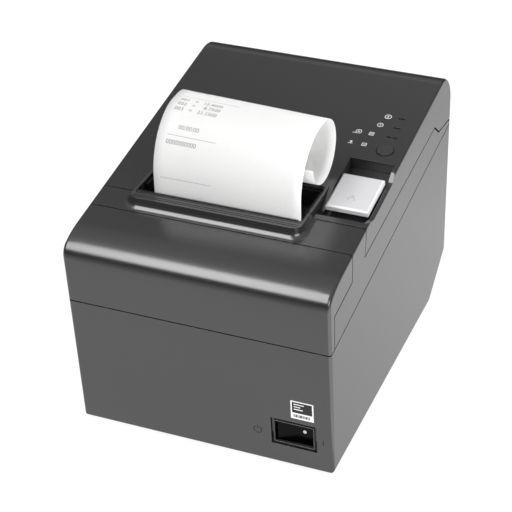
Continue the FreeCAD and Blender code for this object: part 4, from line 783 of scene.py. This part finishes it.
@dataclass
class Casings(Assembly):
    """The four shells of the case with their feet, screws and front marks, drawn in millimetres."""

    case: Case
    label_x: float = 54.8 * MM
    label_z: float = 39.5 * MM
    label_wide: float = 12.2
    label_high: float = 11.6
    label_thick: float = 0.10
    field_thick: float = 0.14          # each layer of print stands a little above the last
    rules_thick: float = 0.18
    field_rise: float = 0.14           # these are shares of the label's own size
    field_wide: float = 0.88
    field_high: float = 0.60
    rules: tuple[Span, ...] = ((0.32, 0.62), (0.18, 0.40), (0.04, 0.54))   # rise and length
    rules_left: float = 0.36
    rules_high: float = 0.05
    bars_left: float = 0.38
    bars_drop: float = 0.33
    bars_high: float = 0.16
    bars: tuple[float, ...] = (0.5, 0.25, 0.7, 0.25, 0.4, 0.9, 0.25, 0.5, 0.3, 0.7, 0.25, 0.5)
    bars_gap: float = 0.28
    standby_x: float = 30.0 * MM
    standby_z: float = 20.5 * MM
    on_x: float = 65.6 * MM
    on_z: float = 21.2 * MM
    symbol_line: float = 0.5
    symbol_radius: float = 2.4
    symbol_gap: float = 0.9
    symbol_rise: float = 1.5           # of the stroke in the ring's gap
    on_long: float = 3.6

    def dress(self) -> None:
        """Give the shells, feet and fasteners their finishes."""
        CASE.dress(*nodes("lower_case", "upper_case", "cutter_cover", "roll_cover"))
        RUBBER.dress(*nodes("feet"))
        PLATED.dress(*nodes("case_screws", "hinge_pin"))

    def label(self) -> list[Piece]:
        """Lay the plain label in its layers: film, dark field, light rules and a row of bars.

        Returns:
            The four layers.
        """
        stand = self.case.stand(Face.FRONT, self.label_x, self.label_z)
        wide, high = self.label_wide, self.label_high
        base = Pen(self.label_thick).bar(0, 0, wide, high).place("front_label", stand)
        dark = Pen(self.field_thick).bar(
            0, high * self.field_rise, wide * self.field_wide, high * self.field_high).place(
            "label_field", stand)
        lines = Pen(self.rules_thick)
        for rise, share in self.rules:
            lines.bar(-wide * (self.rules_left - share * self.rules_left), high * rise,
                      wide * share * 2 * self.rules_left, high * self.rules_high)
        light = lines.place("label_rules", stand)
        code = Pen(self.field_thick)
        x = -wide * self.bars_left
        for width in self.bars:
            code.bar(x + width / 2, -high * self.bars_drop, width, high * self.bars_high)
            x += width + self.bars_gap
        dashes = code.place("label_bars", stand)
        LABEL_WHITE.dress(base, light)
        LABEL_BLACK.dress(dark, dashes)
        return [base, dark, light, dashes]

    def build(self) -> list[Piece]:
        """Make the plain label and the switch's symbols on the front.

        Returns:
            The new pieces.
        """
        made = self.label()
        standby = Pen().disc(0, 0, self.symbol_radius, RING, line=self.symbol_line,
                             gap=self.symbol_gap)
        standby.bar(0, self.symbol_rise, self.symbol_line, self.symbol_radius)
        off_mark = standby.place(
            "standby_symbol", self.case.stand(Face.FRONT, self.standby_x, self.standby_z))
        on_mark = Pen().bar(0, 0, self.symbol_line, self.on_long).place(
            "on_symbol", self.case.stand(Face.FRONT, self.on_x, self.on_z))
        DARK_INK.dress(off_mark, on_mark)
        made += [off_mark, on_mark]
        for piece in made:
            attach(piece, "printer")
        return made


@dataclass
class ControlPanel(Assembly):
    """The feed button, the status lights and the pictograms beside them."""

    case: Case
    spots: tuple[tuple[str, float, float], ...] = (
        ("power_icon", 52.4 * MM, 42.7 * MM), ("fault_icon", 50.6 * MM, 34.7 * MM),
        ("roll_icon", 41.4 * MM, 26.2 * MM), ("paper_icon", 48.6 * MM, 26.2 * MM),
        ("feed_icon", 40.4 * MM, 16.5 * MM), ("feed_paper_icon", 47.8 * MM, 16.5 * MM))
    line: float = 0.36                 # the pictograms are drawn in millimetres
    bold: float = 0.42
    thin: float = 0.3

    def dress(self) -> None:
        """Give the button, the lights and their board their finishes."""
        BUTTON.dress(*nodes("feed_button"))
        LENS.dress(*nodes("status_lights"))
        BOARD.dress(*nodes("control_board"))
        CHIP.dress(*nodes("button_switch"))

    def build(self) -> list[Piece]:
        """Print the four rows of pictograms.

        Returns:
            The new pieces.
        """
        line, bold, thin = self.line, self.bold, self.thin
        drawn = (
            Pen().disc(0, 0, 1.9, RING, line=bold).bar(0, 0, 0.45, 2.2),
            Pen().disc(0, 0, 1.7, RING, line=line).bar(0, 0.3, bold, 1.2).bar(0, -0.8, bold, bold),
            Pen().disc(0, 0.3, 1.7, RING, line=line).disc(0, 0.3, 0.55).bar(-1.9, -1.22, 2.2, line),
            Pen().disc(0, 0, 1.9, line=line, **SQUARE).bar(0, 0.35, 1.4, thin).bar(
                0, -0.35, 1.4, thin),
            Pen().bar(0, -0.7, 2.6, line).disc(0, 0.8, 0.95, 3, 90).bar(0, 0, bold, 1.3),
            Pen().disc(0, 0, 1.8, line=line, **SQUARE).bar(0, 0, 1.3, thin))
        made = [pen.place(name, self.case.stand(Face.TOP, x, y))
                for pen, (name, x, y) in zip(drawn, self.spots)]
        WHITE_INK.dress(*made)
        for piece in made:
            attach(piece, "cover")
        return made


@dataclass
class OpenLever(Assembly):
    """The silver lever that opens the cover, with its hook, pin and spring."""

    mark_x: float = 56.6 * MM
    mark_y: float = -27.5 * MM
    above: float = 0.2                 # from where the lever's top is looked for
    stroke: float = 0.5                # the chevron's two strokes are drawn in millimetres
    stroke_long: float = 4.0
    stroke_off: float = 0.95
    stroke_turn: float = 28.0

    def dress(self) -> None:
        """Give the lever and its fittings their finishes."""
        SILVER.dress(*nodes("open_lever"))
        BLACK.dress(*nodes("latch_hook"))
        PLATED.dress(*nodes("lever_pivot_pin", "lever_spring", "latch_pin"))

    def build(self) -> list[Piece]:
        """Raise the plain chevron that shows which way to push.

        Returns:
            The new piece.
        """
        chevron = Pen(self.stroke)
        for side in (-1, 1):
            chevron.bar(side * self.stroke_off, 0, self.stroke, self.stroke_long,
                        side * self.stroke_turn)
        stand = on_node("open_lever", (self.mark_x, self.mark_y, self.above), (0, 0, -1))
        arrow = chevron.place("lever_chevron", stand)
        SILVER_MARK.dress(arrow)
        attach(arrow, "lever")
        return [arrow]


@dataclass
class PowerSwitch(Assembly):
    """The rocker switch in the front."""

    case: Case
    middle_x: float = 49.8 * MM
    middle_z: float = 22.2 * MM
    bezel_wide: float = 24.6           # the bezel is drawn in millimetres
    bezel_high: float = 17.0
    bezel_rim: float = 1.3             # width of its flat
    bezel_lip: float = 0.55            # and of the raised lip inside that
    bezel_corner: float = 1.5
    corner_steps: int = 5
    bezel_back: float = -1.7           # from the face of the case
    bezel_flat: float = -1.0
    bezel_top: float = -0.25
    bezel_near: float = 0.01           # how close to the flat a face counts as part of it
    bezel_edge: float = 0.14
    edge_steps: int = 2
    dot_x: float = 54.0 * MM
    dot_z: float = 21.8 * MM
    dot_radius: float = 0.95           # in millimetres
    ahead: float = -0.2                # from where the rocker's face is looked for

    def dress(self) -> None:
        """Give the switch its finishes."""
        GLOSS_BLACK.dress(*nodes("power_rocker"))
        BLACK.dress(*nodes("switch_body"))

    def bezel(self) -> Piece:
        """Draw the frame round the rocker: a rounded plate, cut out, with a raised inner lip.

        Returns:
            The finished piece.
        """
        deselect()
        bpy.ops.mesh.primitive_plane_add(size=1, location=(0, 0, self.bezel_back))
        ring = bpy.context.object
        ring.scale = (self.bezel_wide, self.bezel_high, 1)
        apply_place()
        edit_all()
        bpy.ops.mesh.select_mode(type="FACE")
        bpy.ops.mesh.select_all(action="SELECT")
        bpy.ops.mesh.bevel(offset=self.bezel_corner, segments=self.corner_steps, affect="VERTICES")
        bpy.ops.mesh.select_all(action="SELECT")
        for width in (self.bezel_rim, self.bezel_lip):
            bpy.ops.mesh.inset(thickness=width, depth=0)
        bpy.ops.mesh.delete(type="FACE")
        bpy.ops.mesh.select_all(action="SELECT")
        pull(0, 0, self.bezel_flat - self.bezel_back)
        close_up()
        bpy.ops.object.mode_set(mode="EDIT")
        wide = self.bezel_wide / 2 - self.bezel_rim
        high = self.bezel_high / 2 - self.bezel_rim
        pick_faces(ring, lambda middle: middle.z > self.bezel_flat - self.bezel_near and abs(
            middle.x) < wide and abs(middle.y) < high)
        pull(0, 0, self.bezel_top - self.bezel_flat)
        bpy.ops.object.mode_set(mode="OBJECT")
        apply_modifier(ring, "soft_edges", "BEVEL", width=self.bezel_edge,
                       segments=self.edge_steps)
        stand = self.case.stand(Face.FRONT, self.middle_x, self.middle_z)
        return finish_piece("switch_bezel", [ring], stand @ Matrix.Scale(MM, 4))

    def build(self) -> list[Piece]:
        """Make the bezel, and print the white dot that shows which side is on.

        Returns:
            The new pieces.
        """
        ring = self.bezel()
        BUTTON.dress(ring)
        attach(ring, "printer")
        stand = on_node("power_rocker", (self.dot_x, self.ahead, self.dot_z), (0, 1, 0))
        dot = Pen().disc(0, 0, self.dot_radius).place("rocker_dot", stand)
        WHITE_INK.dress(dot)
        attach(dot, "rocker")
        return [ring, dot]


@dataclass
class PaperPath(Assembly):
    """The paper roll, the web that climbs from it and the cut slip that stands in the exit."""

    width: float = 79.5 * MM
    thick: float = 0.09 * MM
    slip_y: float = -55.0 * MM
    low_z: float = 112.86 * MM
    lift_z: float = 134.4 * MM
    bend: float = 28.0 * MM
    flat: float = 5.5 * MM
    curl: float = 16.8 * MM
    turn: float = math.radians(263.0)
    skew: float = 0.1                  # how much higher the bow is at the left than at the right
    cuts: int = 15                     # across the slip
    rise_steps: int = 6
    bend_steps: int = 20
    curl_steps: int = 52
    weld: float = 0.01 * MM            # points nearer than this become one
    letter: float = 3.3 * MM
    letter_steps: int = 2              # of each curve in a sign
    ink_lift: float = 0.03 * MM
    rows: tuple[tuple[float, float, str], ...] = (     # left and height in millimetres, and signs
        (4.2, 76.0, "0000 00"), (4.2, 69.0, "_" * 19), (4.4, 64.2, "001   =   12.4000"),
        (4.2, 60.4, "002   =     8.7500"), (4.0, 56.6, "003   =   21.1500"),
        (10.0, 46.2, "00:00:00"), (5.2, 43.2, "_" * 16), (5.2, 38.4, "0000000000"),
        (3.6, 21.6, "." * 38))

    @property
    def length(self) -> float:
        """Length of the slip along its curve."""
        bow = math.pi / 2 * self.bend
        return self.lift_z - self.low_z + bow + self.flat + self.turn * self.curl

    def dress(self) -> None:
        """Give the roll, its core and the web their finishes."""
        ROLL.dress(*nodes("paper_roll"))
        SLIP.dress(*nodes("paper_web"))
        CARD.dress(*nodes("roll_core"))

    def raised(self, x: float, z: float) -> float:
        """Find how high a point of the slip stands, with the bow taller towards the left edge.

        Args:
            x: Across.
            z: Height before that.

        Returns:
            The height.
        """
        return z + max(z - self.lift_z, 0.0) * self.skew * (0.5 - x / self.width)

    def spot(self, along: float, lift: float) -> tuple[float, float]:
        """Find where a point of the slip lies in the side view, before its bow is skewed.

        Args:
            along: Distance from the slip's lower end.
            lift: Distance off the slip's front.

        Returns:
            Depth and height.
        """
        rise, bow = self.lift_z - self.low_z, math.pi / 2 * self.bend
        top_y, top_z = self.slip_y + self.bend, self.lift_z + self.bend
        if along <= rise:
            return self.slip_y - lift, self.low_z + along
        along -= rise
        if along <= bow:
            angle, reach = math.pi - along / self.bend, self.bend + lift
            return top_y + reach * math.cos(angle), self.lift_z + reach * math.sin(angle)
        along -= bow
        if along <= self.flat:
            return top_y + along, top_z + lift
        angle, reach = math.pi / 2 - (along - self.flat) / self.curl, self.curl + lift
        return (top_y + self.flat + reach * math.cos(angle),
                top_z - self.curl + reach * math.sin(angle))

    def sheet(self) -> Piece:
        """Draw the slip: an edge pulled straight up, spun back, pulled on and spun into its curl.

        Returns:
            The finished piece.
        """
        deselect()
        bpy.ops.mesh.primitive_plane_add(size=self.width, location=(0, self.slip_y, self.low_z),
                                         rotation=(math.pi / 2, 0, 0))
        slip = bpy.context.object
        apply_place()
        bpy.ops.object.mode_set(mode="EDIT")
        bpy.ops.mesh.select_all(action="DESELECT")
        bpy.ops.object.mode_set(mode="OBJECT")
        for vertex in slip.data.vertices:
            vertex.select = vertex.co.z > self.low_z
        bpy.ops.object.mode_set(mode="EDIT")
        bpy.ops.mesh.select_mode(type="VERT")
        bpy.ops.mesh.delete(type="VERT")
        bpy.ops.mesh.select_all(action="SELECT")
        bpy.ops.transform.translate(value=(0, 0, self.width / 2))
        bpy.ops.mesh.subdivide(number_cuts=self.cuts)
        bpy.ops.mesh.select_all(action="SELECT")
        for _ in range(self.rise_steps):
            pull(0, 0, (self.lift_z - self.low_z) / self.rise_steps)
        centre = (0, self.slip_y + self.bend, self.lift_z)
        bpy.ops.mesh.spin(steps=self.bend_steps, angle=math.pi / 2, center=centre, axis=(1, 0, 0))
        pull(0, self.flat, 0)
        centre = (0, self.slip_y + self.bend + self.flat, self.lift_z + self.bend - self.curl)
        bpy.ops.mesh.spin(steps=self.curl_steps, angle=self.turn, center=centre, axis=(1, 0, 0))
        bpy.ops.mesh.select_all(action="SELECT")
        bpy.ops.mesh.remove_doubles(threshold=self.weld)
        close_up()
        for vertex in slip.data.vertices:
            vertex.co.z = self.raised(vertex.co.x, vertex.co.z)
        bpy.ops.object.shade_smooth()
        slip.name = slip.data.name = "paper_slip"
        apply_modifier(slip, "paper_thickness", "SOLIDIFY", thickness=self.thick, offset=0.0)
        return slip

    def print_rows(self) -> Piece:
        """Print plain rows of numbers and rules on the slip's front, laid along its curve.

        Returns:
            The print as one piece.
        """
        made = []
        for left, along, text in self.rows:
            deselect()
            bpy.ops.object.text_add(location=(0, 0, 0))
            line = bpy.context.object
            line.data.body = text
            line.data.size = self.letter
            line.data.resolution_u = self.letter_steps
            bpy.ops.object.convert(target="MESH")
            line = bpy.context.object
            for vertex in line.data.vertices:
                x = -self.width / 2 + left * MM + vertex.co.x
                y, z = self.spot(along * MM + vertex.co.y, self.thick / 2 + self.ink_lift)
                vertex.co = (x, y, self.raised(x, z))
            made.append(line)
        return finish_piece("slip_print", made, Matrix.Identity(4))

    def build(self) -> list[Piece]:
        """Make the slip and its print.

        Returns:
            The new pieces.
        """
        slip = self.sheet()
        SLIP.dress(slip)
        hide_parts("receipt")
        printed = self.print_rows()
        THERMAL_INK.dress(printed)
        for piece in (slip, printed):
            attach(piece, "slip")
        return [slip, printed]


@dataclass
class Mechanism(Assembly):
    """The print head, the platen with its gears, the cutter and the frame that carries them."""

    teeth_long: float = 86.0 * MM
    teeth_middle: float = -4.4 * MM
    teeth_y: float = -56.1 * MM
    teeth_z: float = 124.7 * MM
    tooth_pitch: float = 1.0 * MM
    tooth_high: float = 0.9 * MM
    tooth_thick: float = 0.35 * MM
    spring_x: float = 26.0 * MM
    spring_z: float = 92.5 * MM
    spring_seat: float = -61.57 * MM   # where the springs stand on their plate
    spring_long: float = 7.1 * MM
    spring_radius: float = 2.4 * MM
    spring_wire: float = 0.4 * MM      # half of the wire's thickness
    spring_sides: int = 8              # of the wire
    spring_turns: int = 6
    spring_steps: int = 20             # corners of each turn
    spring_keep: float = 0.88          # what is left of their length when the head gives way

    def dress(self) -> None:
        """Give the mechanism its finishes."""
        PLATED.dress(*nodes("chassis", "cutter_base", "holder_screws", "head_pivot_pin",
                            "head_springs", "gear_stud", "feed_motor", "cutter_motor",
                            "motor_shaft", "cutter_shaft"))
        BRIGHT.dress(*nodes("platen_shaft", "moving_blade", "fixed_blade"))
        ALUMINIUM.dress(*nodes("head_heatsink"))
        CERAMIC.dress(*nodes("thermal_head"))
        RUBBER.dress(*nodes("platen_roller"))
        NATURAL.dress(*nodes("platen_gear", "reduction_gear", "motor_pinion", "cutter_pinion",
                             "platen_bearings", "cutter_dial"))
        BLACK.dress(*nodes("platen_holder", "paper_bin", "paper_end_sensor"))
        BUTTON.dress(*nodes("tear_plate"))

    def springs(self) -> Piece:
        """Wind the two springs behind the head: a ring of wire run up a screw, and its copy.

        Returns:
            Both springs as one piece.
        """
        deselect()
        bpy.ops.mesh.primitive_circle_add(
            vertices=self.spring_sides, radius=self.spring_wire,
            location=(self.spring_radius, 0, 0), rotation=(math.pi / 2, 0, 0))
        coil = bpy.context.object
        apply_place()
        rise = (self.spring_long - 2 * self.spring_wire) / self.spring_turns
        apply_modifier(coil, "turns", "SCREW", steps=self.spring_steps,
                       render_steps=self.spring_steps, iterations=self.spring_turns,
                       screw_offset=rise)
        edit_all()
        bpy.ops.mesh.fill_holes(sides=0)
        close_up()
        bpy.ops.object.shade_smooth()
        apply_modifier(coil, "pair", "ARRAY", use_relative_offset=False, use_constant_offset=True,
                       constant_offset_displace=(2 * self.spring_x, 0, 0))
        foot = Matrix.Translation((-self.spring_x, self.spring_seat + self.spring_wire,
                                   self.spring_z))
        lying = Matrix.Rotation(math.radians(-90), 4, "X")
        return finish_piece("head_coils", [coil], foot @ lying)

    def teeth(self) -> Piece:
        """Stand the row of small teeth on the tear plate's back edge: one tooth, repeated.

        Returns:
            The row as one piece.
        """
        deselect()
        first = self.teeth_middle - self.teeth_long / 2 + self.tooth_pitch / 2
        bpy.ops.mesh.primitive_circle_add(
            vertices=4, radius=self.tooth_pitch / 2, fill_type="NGON",
            location=(first, self.teeth_y, self.teeth_z), rotation=(math.pi / 2, 0, 0))
        row = bpy.context.object
        row.scale = (1, self.tooth_high * 2 / self.tooth_pitch, 1)
        apply_place()
        edit_all()
        pull(0, self.tooth_thick, 0)
        close_up()
        apply_modifier(row, "teeth", "ARRAY", count=round(self.teeth_long / self.tooth_pitch),
                       use_relative_offset=False, use_constant_offset=True,
                       constant_offset_displace=(self.tooth_pitch, 0, 0))
        row.name = row.data.name = "tear_teeth"
        return row

    def build(self) -> list[Piece]:
        """Make the teeth of the tear plate, and the springs.

        Returns:
            The new pieces.
        """
        row = self.teeth()
        BUTTON.dress(row)
        coils = self.springs()
        PLATED.dress(coils)
        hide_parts("head_springs")
        for piece in (row, coils):
            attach(piece, "printer")
        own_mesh(coils)
        return [row, coils]


class Electronics(Assembly):
    """The boards and the sockets in the back."""

    def dress(self) -> None:
        """Give the boards, their parts and the sockets their finishes."""
        BOARD.dress(*nodes("main_board", "interface_board"))
        CHIP.dress(*nodes("board_chips"))
        ALUMINIUM.dress(*nodes("capacitors"))
        BLACK.dress(*nodes("power_inlet", "data_socket", "drawer_socket"))
        PLATED.dress(*nodes("interface_panel", "panel_screws", "board_screws"))
        BRASS.dress(*nodes("panel_standoffs"))


# -------------------------------------------------------------------------------------- studio


@dataclass(frozen=True)
class Softbox:
    """A soft lamp that hangs beside the table."""

    name: str
    spot: Point
    target: Point
    size: Span
    watts: float
    mirrored: bool = True              # whether glossy surfaces show it

    def hang(self) -> None:
        """Hang the lamp, pointed at its target."""
        light = bpy.data.lights.new(self.name, "AREA")
        light.shape = "RECTANGLE"
        light.size, light.size_y = self.size
        light.energy = self.watts
        box = bpy.data.objects.new(self.name, light)
        box.location = self.spot
        box.visible_glossy = self.mirrored
        way = Vector(self.target) - Vector(self.spot)
        box.rotation_euler = way.to_track_quat("-Z", "Y").to_euler()
        bpy.context.scene.collection.objects.link(box)


@dataclass
class Studio:
    """A white table under soft lamps, with the camera where the picture was taken from."""

    turn: float = math.radians(21.5648)
    tilt: float = math.radians(32.6083)
    roll: float = math.radians(-0.8355)
    stand: Point = (0.28725, -0.69379, 0.55017)
    focal: float = 1637.5              # in pixels, like the shift of the picture's centre
    centre: Span = (36.15, -13.5)
    picture: float = 512.0             # how many pixels wide it is
    sensor: float = 36.0               # in millimetres
    near: float = 0.01                 # from where the camera sees
    room: float = 0.44                 # how bright the studio looks, mirrored in the object: above
    dip: float = 0.06                  # higher on the back wall
    back: float = 0.54                 # lower on that wall
    horizon: float = 0.04              # and low down round it
    dip_span: Span = (0.52, 0.6)       # how far back a way points where the wall starts
    back_span: Span = (0.62, 0.72)     # and where its lower part does
    horizon_span: Span = (0.2, 0.6)    # how high a way points where the dark ends
    ambient: float = 0.43              # how bright it is for dull surfaces, from everywhere
    glow: float = 0.86                 # brightness of the table top itself
    mirror: float = 0.63               # and of its mirror image in the object
    white_span: Span = (-0.36, -0.2)   # where that image begins, from the front
    far_gain: float = 1.36             # how much brighter the image is beside the object
    far_span: Span = (-0.12, 0.08)
    rear_gain: float = 0.75            # and what is left of that far behind it
    rear_span: Span = (0.16, 0.3)
    glint: float = 2.2                 # and at the front right, where the corner mirrors it
    glint_y: Span = (-0.085, -0.07)
    glint_x: Span = (0.08, 0.095)
    floor_size: float = 2.0
    bounce: str = "#e8e8e8"            # what the table gives back to dull surfaces
    shade: float = 0.2                 # how much of the lamps' shadows the table shows
    lamps: tuple[Softbox, ...] = (
        Softbox("overhead_softbox", (-0.48, -0.70, 1.21), (-0.48, -0.21, 0.34), (0.55, 1.45), 15.5),
        Softbox("front_right_fill", (1.0, -1.05, 0.75), (0, 0, 0.1), (0.9, 0.9), 10.0),
        Softbox("right_softbox", (1.3, 0.35, 0.5), (0, 0, 0.05), (0.8, 0.6), 17.0, mirrored=False))

    def camera(self) -> None:
        """Stand the camera at the picture's viewing angle."""
        right = Vector((math.cos(self.turn), math.sin(self.turn), 0))
        level = math.cos(self.tilt)
        back = Vector((math.sin(self.turn) * level, -math.cos(self.turn) * level,
                       math.sin(self.tilt)))
        up = back.cross(right)
        across = math.cos(self.roll) * right + math.sin(self.roll) * up
        upright = -math.sin(self.roll) * right + math.cos(self.roll) * up
        lens = bpy.data.cameras.new("camera")
        lens.sensor_width = self.sensor
        lens.lens = self.focal / self.picture * self.sensor
        lens.shift_x = -self.centre[0] / self.picture
        lens.shift_y = self.centre[1] / self.picture
        lens.clip_start = self.near
        camera = bpy.data.objects.new("camera", lens)
        turn = Matrix((across, upright, back)).transposed().to_4x4()
        camera.matrix_world = Matrix.Translation(self.stand) @ turn
        bpy.context.scene.collection.objects.link(camera)
        bpy.context.scene.camera = camera

    def floor(self) -> None:
        """Lay a white table top that shows white and keeps a soft shadow."""
        deselect()
        bpy.ops.mesh.primitive_plane_add(size=self.floor_size, location=(0, 0, 0))
        table = bpy.context.object
        table.name = "table_top"
        made = bpy.data.materials.new("white_table")
        made.use_nodes = True
        tree = made.node_tree
        tree.nodes.clear()
        path = add_node(tree, "ShaderNodeLightPath").outputs
        place = add_node(tree, "ShaderNodeTexCoord").outputs["Object"]
        split = add_node(tree, "ShaderNodeSeparateXYZ", {"Vector": place}).outputs
        depth = split["Y"]
        seen = path["Is Camera Ray"]
        for kind in ("Is Glossy Ray", "Is Transmission Ray"):
            seen = add_node(tree, "ShaderNodeMath", {0: seen, 1: path[kind]},
                            operation="MAXIMUM").outputs[0]
        corner = add_node(tree, "ShaderNodeMapRange", {
            "Value": depth, "From Min": self.glint_y[0], "From Max": self.glint_y[1],
            "To Min": self.glint, "To Max": 1.0})
        image = add_node(tree, "ShaderNodeMapRange", {
            "Value": depth, "From Min": self.white_span[0], "From Max": self.white_span[1],
            "To Min": self.horizon, "To Max": self.mirror}).outputs["Result"]
        for value, span, gain in ((depth, self.far_span, self.far_gain),
                                  (depth, self.rear_span, self.rear_gain),
                                  (split["X"], self.glint_x, corner.outputs["Result"])):
            step = add_node(tree, "ShaderNodeMapRange", {
                "Value": value, "From Min": span[0], "From Max": span[1], "To Min": 1.0,
                "To Max": gain})
            image = add_node(tree, "ShaderNodeMath", {0: image, 1: step.outputs["Result"]},
                             operation="MULTIPLY").outputs[0]
        strength = add_node(tree, "ShaderNodeMapRange", {
            "Value": path["Is Glossy Ray"], "To Min": self.glow, "To Max": image}).outputs["Result"]
        bounce = add_node(tree, "ShaderNodeBsdfDiffuse", {"Color": linear(self.bounce)})
        shade = add_node(tree, "ShaderNodeBsdfDiffuse", {"Color": (*[self.shade] * 3, 1)})
        glow = add_node(tree, "ShaderNodeEmission", {"Color": (1, 1, 1, 1), "Strength": strength})
        white = add_node(tree, "ShaderNodeAddShader", {0: shade.outputs[0], 1: glow.outputs[0]})
        both = add_node(tree, "ShaderNodeMixShader", {
            0: seen, 1: bounce.outputs[0], 2: white.outputs[0]})
        add_node(tree, "ShaderNodeOutputMaterial", {"Surface": both.outputs[0]})
        table.data.materials.append(made)

    def world(self) -> None:
        """Light the room evenly, and show white behind the table."""
        world = bpy.data.worlds.new("studio")
        bpy.context.scene.world = world
        world.use_nodes = True
        tree = world.node_tree
        tree.nodes.clear()
        path = add_node(tree, "ShaderNodeLightPath").outputs
        way = add_node(tree, "ShaderNodeTexCoord").outputs["Generated"]
        split = add_node(tree, "ShaderNodeSeparateXYZ", {"Vector": way}).outputs
        level = self.room
        for span, high in ((self.dip_span, self.dip), (self.back_span, self.back)):
            level = add_node(tree, "ShaderNodeMapRange", {
                "Value": split["Y"], "From Min": span[0], "From Max": span[1], "To Min": level,
                "To Max": high}).outputs["Result"]
        for value, span, low in ((split["Z"], self.horizon_span, self.horizon),
                                 (path["Is Glossy Ray"], (0.0, 1.0), self.ambient)):
            level = add_node(tree, "ShaderNodeMapRange", {
                "Value": value, "From Min": span[0], "From Max": span[1], "To Min": low,
                "To Max": level}).outputs["Result"]
        level = add_node(tree, "ShaderNodeMapRange", {
            "Value": path["Is Camera Ray"], "To Min": level, "To Max": 1.0}).outputs["Result"]
        sky = add_node(tree, "ShaderNodeBackground", {"Color": (1, 1, 1, 1), "Strength": level})
        add_node(tree, "ShaderNodeOutputWorld", {"Surface": sky.outputs[0]})

    def build(self) -> None:
        """Set up the camera, the table and the lights."""
        bpy.context.scene.view_settings.view_transform = "Standard"
        self.camera()
        self.floor()
        self.world()
        for lamp in self.lamps:
            lamp.hang()


def main() -> None:
    """Dress the part piece by piece and report each one."""
    logging.basicConfig(level=logging.INFO, format="%(name)s: %(message)s")
    case = Case()
    Studio().build()
    for assembly in (Casings(case), ControlPanel(case), OpenLever(), PowerSwitch(case),
                     PaperPath(), Mechanism(), Electronics()):
        assembly.dress()
        for piece in assembly.build():
            log.info("%s: %s, %d faces", type(assembly).__name__, piece.name,
                     len(piece.data.polygons))


if __name__ == "__main__":
    main()
